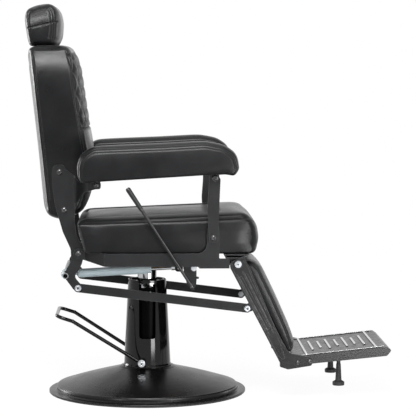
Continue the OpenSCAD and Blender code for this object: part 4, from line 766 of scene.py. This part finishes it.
# half the width, along an S curve of the height: 3 * u * u - 2 * u * u * u
def backHalf(z):
    u = np.clip((z - backSet["widen"][0]) / backSet["widen"][1], 0, 1)
    return backSet["lowHalf"] + (backSet["half"] - backSet["lowHalf"]) * u * u * (3 - 2 * u)


backSet["halfAt"] = backHalf
backSet["fall"] = lambda x, z: quarterFall(z - 930, 128, 50)
backSet["outline"] = [
    (backRear(1050), 1050, 14), (backRear(800), 800, 0), (backRear(600), 600, 60), (-299, 550, 26),
    (-244, 538, 24), (-190, 566, 34), (-165, 640, 60), (backFront(700), 700, 0),
    *((backFront(z), z, 0) for z in np.linspace(736, 985, 7)), (backFront(1022) - 7, 1022, 22),
    (-230.2, 1050, 20)]


# crossed: how far a point lies from the nearest of two families of slanting lines, a pitch apart in y,
# that cross at a height
def crossed(y, z, height, pitch):
    lines = ((z - height) / backSet["slant"] + y, (z - height) / backSet["slant"] - y)
    return pitch * np.minimum(*[abs(c / pitch - np.round(c / pitch)) for c in lines])


# crossed slanting seams make the diamonds, a level seam closes them below, and the low front has a small net
# with a level seam over it; one seam follows each edge
def backSeams(x, y, z, f):
    s = backSet
    front, rear = np.clip(f["facingX"], 0, 1), np.clip(-f["facingX"], 0, 1)
    middle = np.clip((f["shoulder"] - 0.2) / 0.1, 0, 1) * (front > 0.5)
    near = crossed(y, z, s["quilt"][0], s["pitch"])
    inQuilt = ((z > s["quilt"][0] - 4) & (z < s["quilt"][1])) * middle
    sink = inQuilt * (s["quiltDepth"] * np.exp(-(near / s["quiltWidth"]) ** 1.2) - s["quiltRise"])
    sink -= s["crown"] * front * crown(y, s["half"]) * f["shoulder"]
    net = crossed(y, z, s["netStart"], s["netPitch"])
    inNet = ((z > s["net"][0]) & (z < s["net"][1])) * middle
    netSeam, netShade = (share * inNet * groove(net, width) for width, share in (s["netSeam"], s["netShade"]))
    level = sum(share * groove(z - height, width) for height, width, share in s["levels"])
    level = level * front * (f["shoulder"] > s["frontSeam"][0])
    edges = (edgeSeam(f, *s["frontSeam"]) * facingBy(front, *s["facing"])
             + edgeSeam(f, *s["rearSeam"]) * facingBy(rear, *s["facing"]))
    sink += netSeam + s["levelDepth"] * level + s["edgeDepth"] * edges
    # the second value is painted shade: darkness along the quilt's seams, the level seams, the edge seams and
    # the net
    return sink, groove(near, s["quiltShadeWidth"]) * inQuilt + level + edges + netShade


back = makeCushion("backrest", backSet, backSeams, "back_frame", "backrest_cushion")


def backRow(line, depth, side):
    z = np.linspace(*backSet["row"])
    x = np.array([line(v) for v in z]) + depth
    return np.stack([x, side * (backHalf(z) - backSet["inset"]), z], 1)


backLines = ((backFront, -25), (backRear, 21))
backRows = [backRow(line, depth, side) for side in (-1, 1) for line, depth in backLines]
makeStitches("back_stitches", back, backRows, "back_frame")
print("backrest made")


# headrest. Its level seam rises forwards: level + slope * (x - start)
headSet = {
    "outline": [(x - 286.19, z + 1052, r) for x, z, r in (
        (-60, -1, 10), (16, -1, 18), (28, 26, 34), (31, 70, 60), (24, 106, 40), (2, 126, 30), (-36, 120, 60),
        (-70, 109, 22), (-75, 82, 30), (-66, 20, 44))],
    "spine": ((-308, 1092), (-312, 1130)), "half": 140, "drop": 0.0, "reach": 30, "around": 124, "across": 36,
    "arc": 9, "rings": 8,
    "edges": {"front": (22, 52), "rear": (14, 34), "top": (14, 20), "under": (16, 22)},
    "seam": {"level": 1106.0, "slope": 0.232, "start": -345, "width": 2.6}, "frontSeam": (0.17, 38, 3.0),
    "secondSeam": (-5 / 38, 38, 2.2), "rearSeam": (0.16, 30, 2.8), "facing": (2.2, 0.6),
    "depth": {"level": 2.8, "edge": 3.2, "second": 1.4}, "crown": 4, "row": (-350, -266, 14), "inset": 2,
    "cap": 4.0, "fill": 0.9,
    "held": lambda x, y, z: z < 1056,
    "fall": lambda x, z: quarterFall(z - headSeam(x) + 6, 72, 54) + 4 * np.clip((1100 - z) / 45, 0, 1) ** 2,
}


def headSeam(x):
    seam = headSet["seam"]
    return seam["level"] + seam["slope"] * (x - seam["start"])


# a seam goes round the pad at mid height, two follow the front edge and one the rear edge
def headSeams(x, y, z, f):
    s = headSet
    front, rear = np.clip(f["facingX"], 0, 1), np.clip(-f["facingX"], 0, 1)
    level = groove(z - headSeam(x), s["seam"]["width"]) * (f["shoulder"] < 0.5)
    first, second, last = (edgeSeam(f, *s[name]) * facingBy(share, *s["facing"]) for name, share in (
        ("frontSeam", front), ("secondSeam", front), ("rearSeam", rear)))
    sink = s["depth"]["level"] * level + s["depth"]["edge"] * (first + last) + s["depth"]["second"] * second
    sink -= s["crown"] * crown(y, s["half"]) * front * f["shoulder"]
    # the second value is painted shade along the level seam and the edge seams
    return sink, level + first + last + 0.6 * second


head = makeCushion("headrest", headSet, headSeams, "headrest", "headrest_pad")


def headRow(lift, side):
    x = np.linspace(*headSet["row"])
    return np.stack([x, np.full_like(x, side * (headSet["half"] - headSet["inset"])), headSeam(x) + lift], 1)


headRows = [headRow(lift, side) for side in (-1, 1) for lift in (-4.5, 4.5)]
makeStitches("headrest_stitches", head, headRows, "headrest")
print("headrest made")


# armrests. A pad lies along the line from its pivot on the back frame to the top of its post, and reaches
# past both. Its outline is measured from its rear end, its front end and its underside
armLine = {"pivot": (-148.0, 647.0), "foot": (193, 492), "post": 176, "lean": 1.6, "rear": 54, "front": 71,
           "over": 11}
armPivot = np.array(armLine["pivot"])
postLean = math.radians(armLine["lean"])
postTop = np.array(armLine["foot"]) + armLine["post"] * np.array([math.sin(postLean), math.cos(postLean)])
armReach = float(np.hypot(*(postTop - armPivot)))
armAlong = (postTop - armPivot) / armReach
armUp = np.array([-armAlong[1], armAlong[0]])
armRear = float((armPivot - armAlong * armLine["rear"])[0])
armFront = float((armPivot + armAlong * (armReach + armLine["front"]))[0])
armLow = float((armPivot + armUp * armLine["over"])[1])
armSet = {
    "outline": [
        (armRear + 10, armLow - 2, 10), (armFront - 44, armLow + 23, 30), (armFront - 16, armLow + 17, 10),
        (armFront, armLow + 38, 20), (armFront - 11, armLow + 80, 44), (armFront - 47, armLow + 103, 60),
        (armFront - 100, armLow + 113, 90), (armFront - 220, armLow + 106, 200),
        (armRear + 44, armLow + 98, 46), (armRear + 9, armLow + 76, 40), (armRear - 2, armLow + 44, 30),
        (armRear, armLow + 14, 16)],
    "spine": ((armRear + 52, armLow + 50), (armFront - 60, armLow + 66)), "half": 42, "drop": 1.5,
    "reach": 26, "around": 170, "across": 12, "arc": 8, "rings": 8, "middleY": 254,
    "edges": {"front": (16, 24), "rear": (16, 24), "top": (16, 27), "under": (8, 10)},
    "seams": ((0.52, 30, 1.9), (0.12, 30, 1.9)), "seamDepth": 1.8, "crown": 4.5, "cap": 3.0, "fill": 0.85,
    "held": lambda x, y, z: z < armLow + 20,
    "fall": lambda x, z: quarterFall(
        (x - armPivot[0]) * armUp[0] + (z - armPivot[1]) * armUp[1] - 62, 56, 16),
}


# two seams run along the top near its edges, and one more lies below each of them on the side
def armSeams(x, y, z, f):
    s = armSet
    seams = sum(edgeSeam(f, *seam) for seam in s["seams"]) * facingBy(f["facingZ"], 2, -1.4)
    sink = s["seamDepth"] * seams
    # the second value is painted shade along the seams near the top
    return sink - s["crown"] * np.clip(f["facingZ"], 0, 1) * crown(y, s["half"]) * f["shoulder"], seams


for sideName, sign in (("right", -1), ("left", 1)):
    makeCushion("armrest_" + sideName, armSet, armSeams, "armrest_" + sideName, "armrest_pad_" + sideName,
                sign * armSet["middleY"])
print("armrests made")


# leg pad. It hangs from its pivot at a slope: down runs along it, and fore is square to it, to the front
legPivot = np.array([268.0, 408.0])
legSlope = math.radians(62)
legDown = np.array([math.cos(legSlope), -math.sin(legSlope)])
legFore = np.array([math.sin(legSlope), math.cos(legSlope)])


def onLeg(down, fore, radius):
    return (*(legPivot + down * legDown + fore * legFore), radius)


legSet = {
    "outline": [
        onLeg(6, 15.25, 6), onLeg(310, 7.6, 6), onLeg(308, 26, 14), onLeg(286, 39, 30), onLeg(240, 45, 80),
        onLeg(146, 52, 80), onLeg(46, 56, 50), onLeg(18, 46, 24), onLeg(6, 28, 12)],
    "spine": (onLeg(284, 24, 0)[:2], onLeg(26, 34, 0)[:2]), "half": 172.7, "drop": 2.0, "reach": 22,
    "around": 170, "across": 44, "arc": 8, "rings": 6,
    "edges": {"front": (18, 36), "rear": (4, 6), "top": (14, 22), "under": (8, 12)},
    "upright": (40, 3, 3), "edgeSeam": (0.2, 30, 2.2), "edgeDepth": 2.2, "crown": 4, "cap": 1.5, "fill": 0.85,
    "held": lambda x, y, z: (x - legPivot[0]) * legFore[0] + (z - legPivot[1]) * legFore[1] < 18,
}


# crowned in front, with an upright seam near each side (how far in, width, depth) and one along each edge
def legSeams(x, y, z, f):
    s = legSet
    fore = np.clip(f["facingX"] * legFore[0] + f["facingZ"] * legFore[1], 0, 1)
    inset, width, depth = s["upright"]
    upright = groove(abs(y) - s["half"] + inset, width) * fore * (f["shoulder"] > 0.9)
    edge = edgeSeam(f, *s["edgeSeam"]) * facingBy(fore, 2, 0.8)
    sink = depth * upright + s["edgeDepth"] * edge - s["crown"] * fore * crown(y, s["half"]) * f["shoulder"]
    # the second value is painted shade along the upright seams and the edge seams
    return sink, upright + edge


makeCushion("leg_pad_skin", legSet, legSeams, "leg_rest", "leg_pad")
print("leg pad made")


# pin ends: on the flat end of each bright pin and nut a raised ring, and in its middle a black disc, a
# painted shade standing in for the dark socket hole. A row of numbers: the ring's radius, its thickness, the
# disc's radius, all in mm
pinSet = {"leg_pivot_bolts": (6.4, 0.8, 2.6), "linkage_pins": (5.6, 0.9, 3.4),
          "linkage_end_pins": (5.6, 0.9, 3.4), "pedal_nuts": (5.4, 0.9, 2.8)}


# turnedShape: a profile (radius, height) turned about the Y axis, at a place and towards one side
def turnedShape(profile, place, sign, count=36):
    profile = np.asarray(profile, float)
    angle = np.arange(count) * 2 * np.pi / count * sign
    x = place[0] + profile[:, 0, None] * np.cos(angle)
    z = place[2] + profile[:, 0, None] * np.sin(angle)
    y = place[1] + sign * np.repeat(profile[:, 1, None], count, 1)
    j, i = np.meshgrid(np.arange(len(profile) - 1), np.arange(count), indexing="ij")
    k = (i + 1) % count
    quads = np.stack([j * count + i, j * count + k, (j + 1) * count + k, (j + 1) * count + i], 2)
    return np.stack([x, y, z], 2).reshape(-1, 3), quads.reshape(-1, 4)


def joinShapes(shapes):
    starts = np.cumsum([0] + [len(verts) for verts, quads in shapes[:-1]])
    joined = [quads + start for (verts, quads), start in zip(shapes, starts)]
    return np.concatenate([verts for verts, quads in shapes]), np.concatenate(joined)


turn = np.linspace(0, 2 * np.pi, 13)
pinBody = {node: body for body, nodes in frame["record"]["behaviour"]["bodies"].items() for node in nodes}
for node, (radius, thick, socketShade) in pinSet.items():
    low, high = (np.array(corner) * 1000 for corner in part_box(node))
    middle = (low + high) / 2
    ends = [((middle[0], face, middle[2]), sign) for face, sign in ((low[1], -1), (high[1], 1))]
    ring = [(radius + thick * math.cos(t), thick * 0.5 + thick * math.sin(t)) for t in turn]
    socketShadeDisc = [(0.01, 0.9), (socketShade * 0.7, 0.8), (socketShade, 0.35), (socketShade, -0.3), (0.01, -0.3)]
    # the ring is zinc; the black disc is painted shade for the socket hole
    for label, profile, finish in (("ring", ring, "zinc"), ("socketShade", socketShadeDisc, "black_bolt")):
        verts, quads = joinShapes([turnedShape(profile, place, sign) for place, sign in ends])
        piece = makeMesh(node + "_" + label, verts / 1000, quads)
        piece.data.materials.append(materials[finish])
        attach(piece, pinBody[node])
print("pin ends made")


# stage. The floor's own white grows over shadowShare, at the distances from the middle that fade gives
stageSet = {"floor": 30.0, "white": (1, 1, 1, 1), "floorColour": (0.80, 0.80, 0.80, 1), "worldStrength": 0.35,
            "shadowShare": (0.93, 1.0), "fade": (0.30, 0.9)}

floorHalf = stageSet["floor"]
floor = makeMesh("floor", [(-floorHalf, -floorHalf, 0), (floorHalf, -floorHalf, 0), (floorHalf, floorHalf, 0),
                           (-floorHalf, floorHalf, 0)], [(0, 1, 2, 3)], smooth=False)


# seenRays: 1 for the rays that see the background, from the camera, from gloss and through glass
def seenRays(tree):
    rays = tree.nodes.new("ShaderNodeLightPath").outputs
    both = mathNode(tree, "ADD", rays["Is Camera Ray"], rays["Is Glossy Ray"])
    return mathNode(tree, "ADD", both, rays["Is Transmission Ray"], True)


# the seen floor is white paper: mostly its own white, and less and less shadow away from the middle
floorMaterial, tree, shader = newMaterial("floor", 0.9)
shader.inputs["Base Color"].default_value = stageSet["floorColour"]
shader.inputs["Specular IOR Level"].default_value = 0.0
glow = tree.nodes.new("ShaderNodeEmission")
mixer = tree.nodes.new("ShaderNodeMixShader")
away = addNode(tree, "ShaderNodeVectorMath", [(0, objectPoint(tree))], operation="LENGTH").outputs["Value"]
paper = mapRange(tree, away, *stageSet["fade"], *stageSet["shadowShare"])
tree.links.new(mathNode(tree, "MULTIPLY", seenRays(tree), paper), mixer.inputs[0])
tree.links.new(shader.outputs[0], mixer.inputs[1])
tree.links.new(glow.outputs[0], mixer.inputs[2])
tree.links.new(mixer.outputs[0], tree.nodes["Material Output"].inputs["Surface"])
floor.data.materials.append(floorMaterial)

world = bpy.data.worlds.new("studio")
bpy.context.scene.world = world
world.use_nodes = True
tree = world.node_tree
background = tree.nodes["Background"]
background.inputs["Color"].default_value = stageSet["white"]
strength = mapRange(tree, seenRays(tree), 0.0, 1.0, stageSet["worldStrength"], 1.0)
tree.links.new(strength, background.inputs["Strength"])

# soft lamps: place, what they look at, size in metres, power in watts
lampSet = {
    "key": {"place": (2.35, -3.6, 0.95), "at": (0, 0, 0.9), "size": (1.4, 1.9), "power": 67},
    "fill": {"place": (-2.4, -3.3, 1.6), "at": (0, 0, 0.7), "size": (0.4, 1.4), "power": 26},
    "front": {"place": (-0.3, -3.0, 3.0), "at": (-0.1, 0, 0.8), "size": (1.5, 0.8), "power": 205},
    "top": {"place": (0, -1.3, 3.3), "at": (0, 0, 0.5), "size": (1.4, 1.0), "power": 105},
    "rimRear": {"place": (-3.1, 2.2, 1.1), "at": (-0.2, 0, 0.8), "size": (1.2, 1.9), "power": 95},
    "low": {"place": (0.95, -1.75, 0.2), "at": (0, 0, 0.2), "size": (0.7, 0.36), "power": 16},
    "rimFront": {"place": (3.3, 1.8, 1.0), "at": (0.2, 0, 0.7), "size": (0.8, 1.9), "power": 26},
}
for name, values in lampSet.items():
    data = bpy.data.lights.new(name, "AREA")
    data.shape = "RECTANGLE"
    data.size, data.size_y = values["size"]
    data.energy = values["power"]
    lamp = bpy.data.objects.new(name, data)
    lamp.location = values["place"]
    aim = np.array(values["at"]) - np.array(values["place"])
    lamp.rotation_euler = (math.atan2(math.hypot(aim[0], aim[1]), -aim[2]), 0, math.atan2(-aim[0], aim[1]))
    bpy.context.scene.collection.objects.link(lamp)
print("stage made")
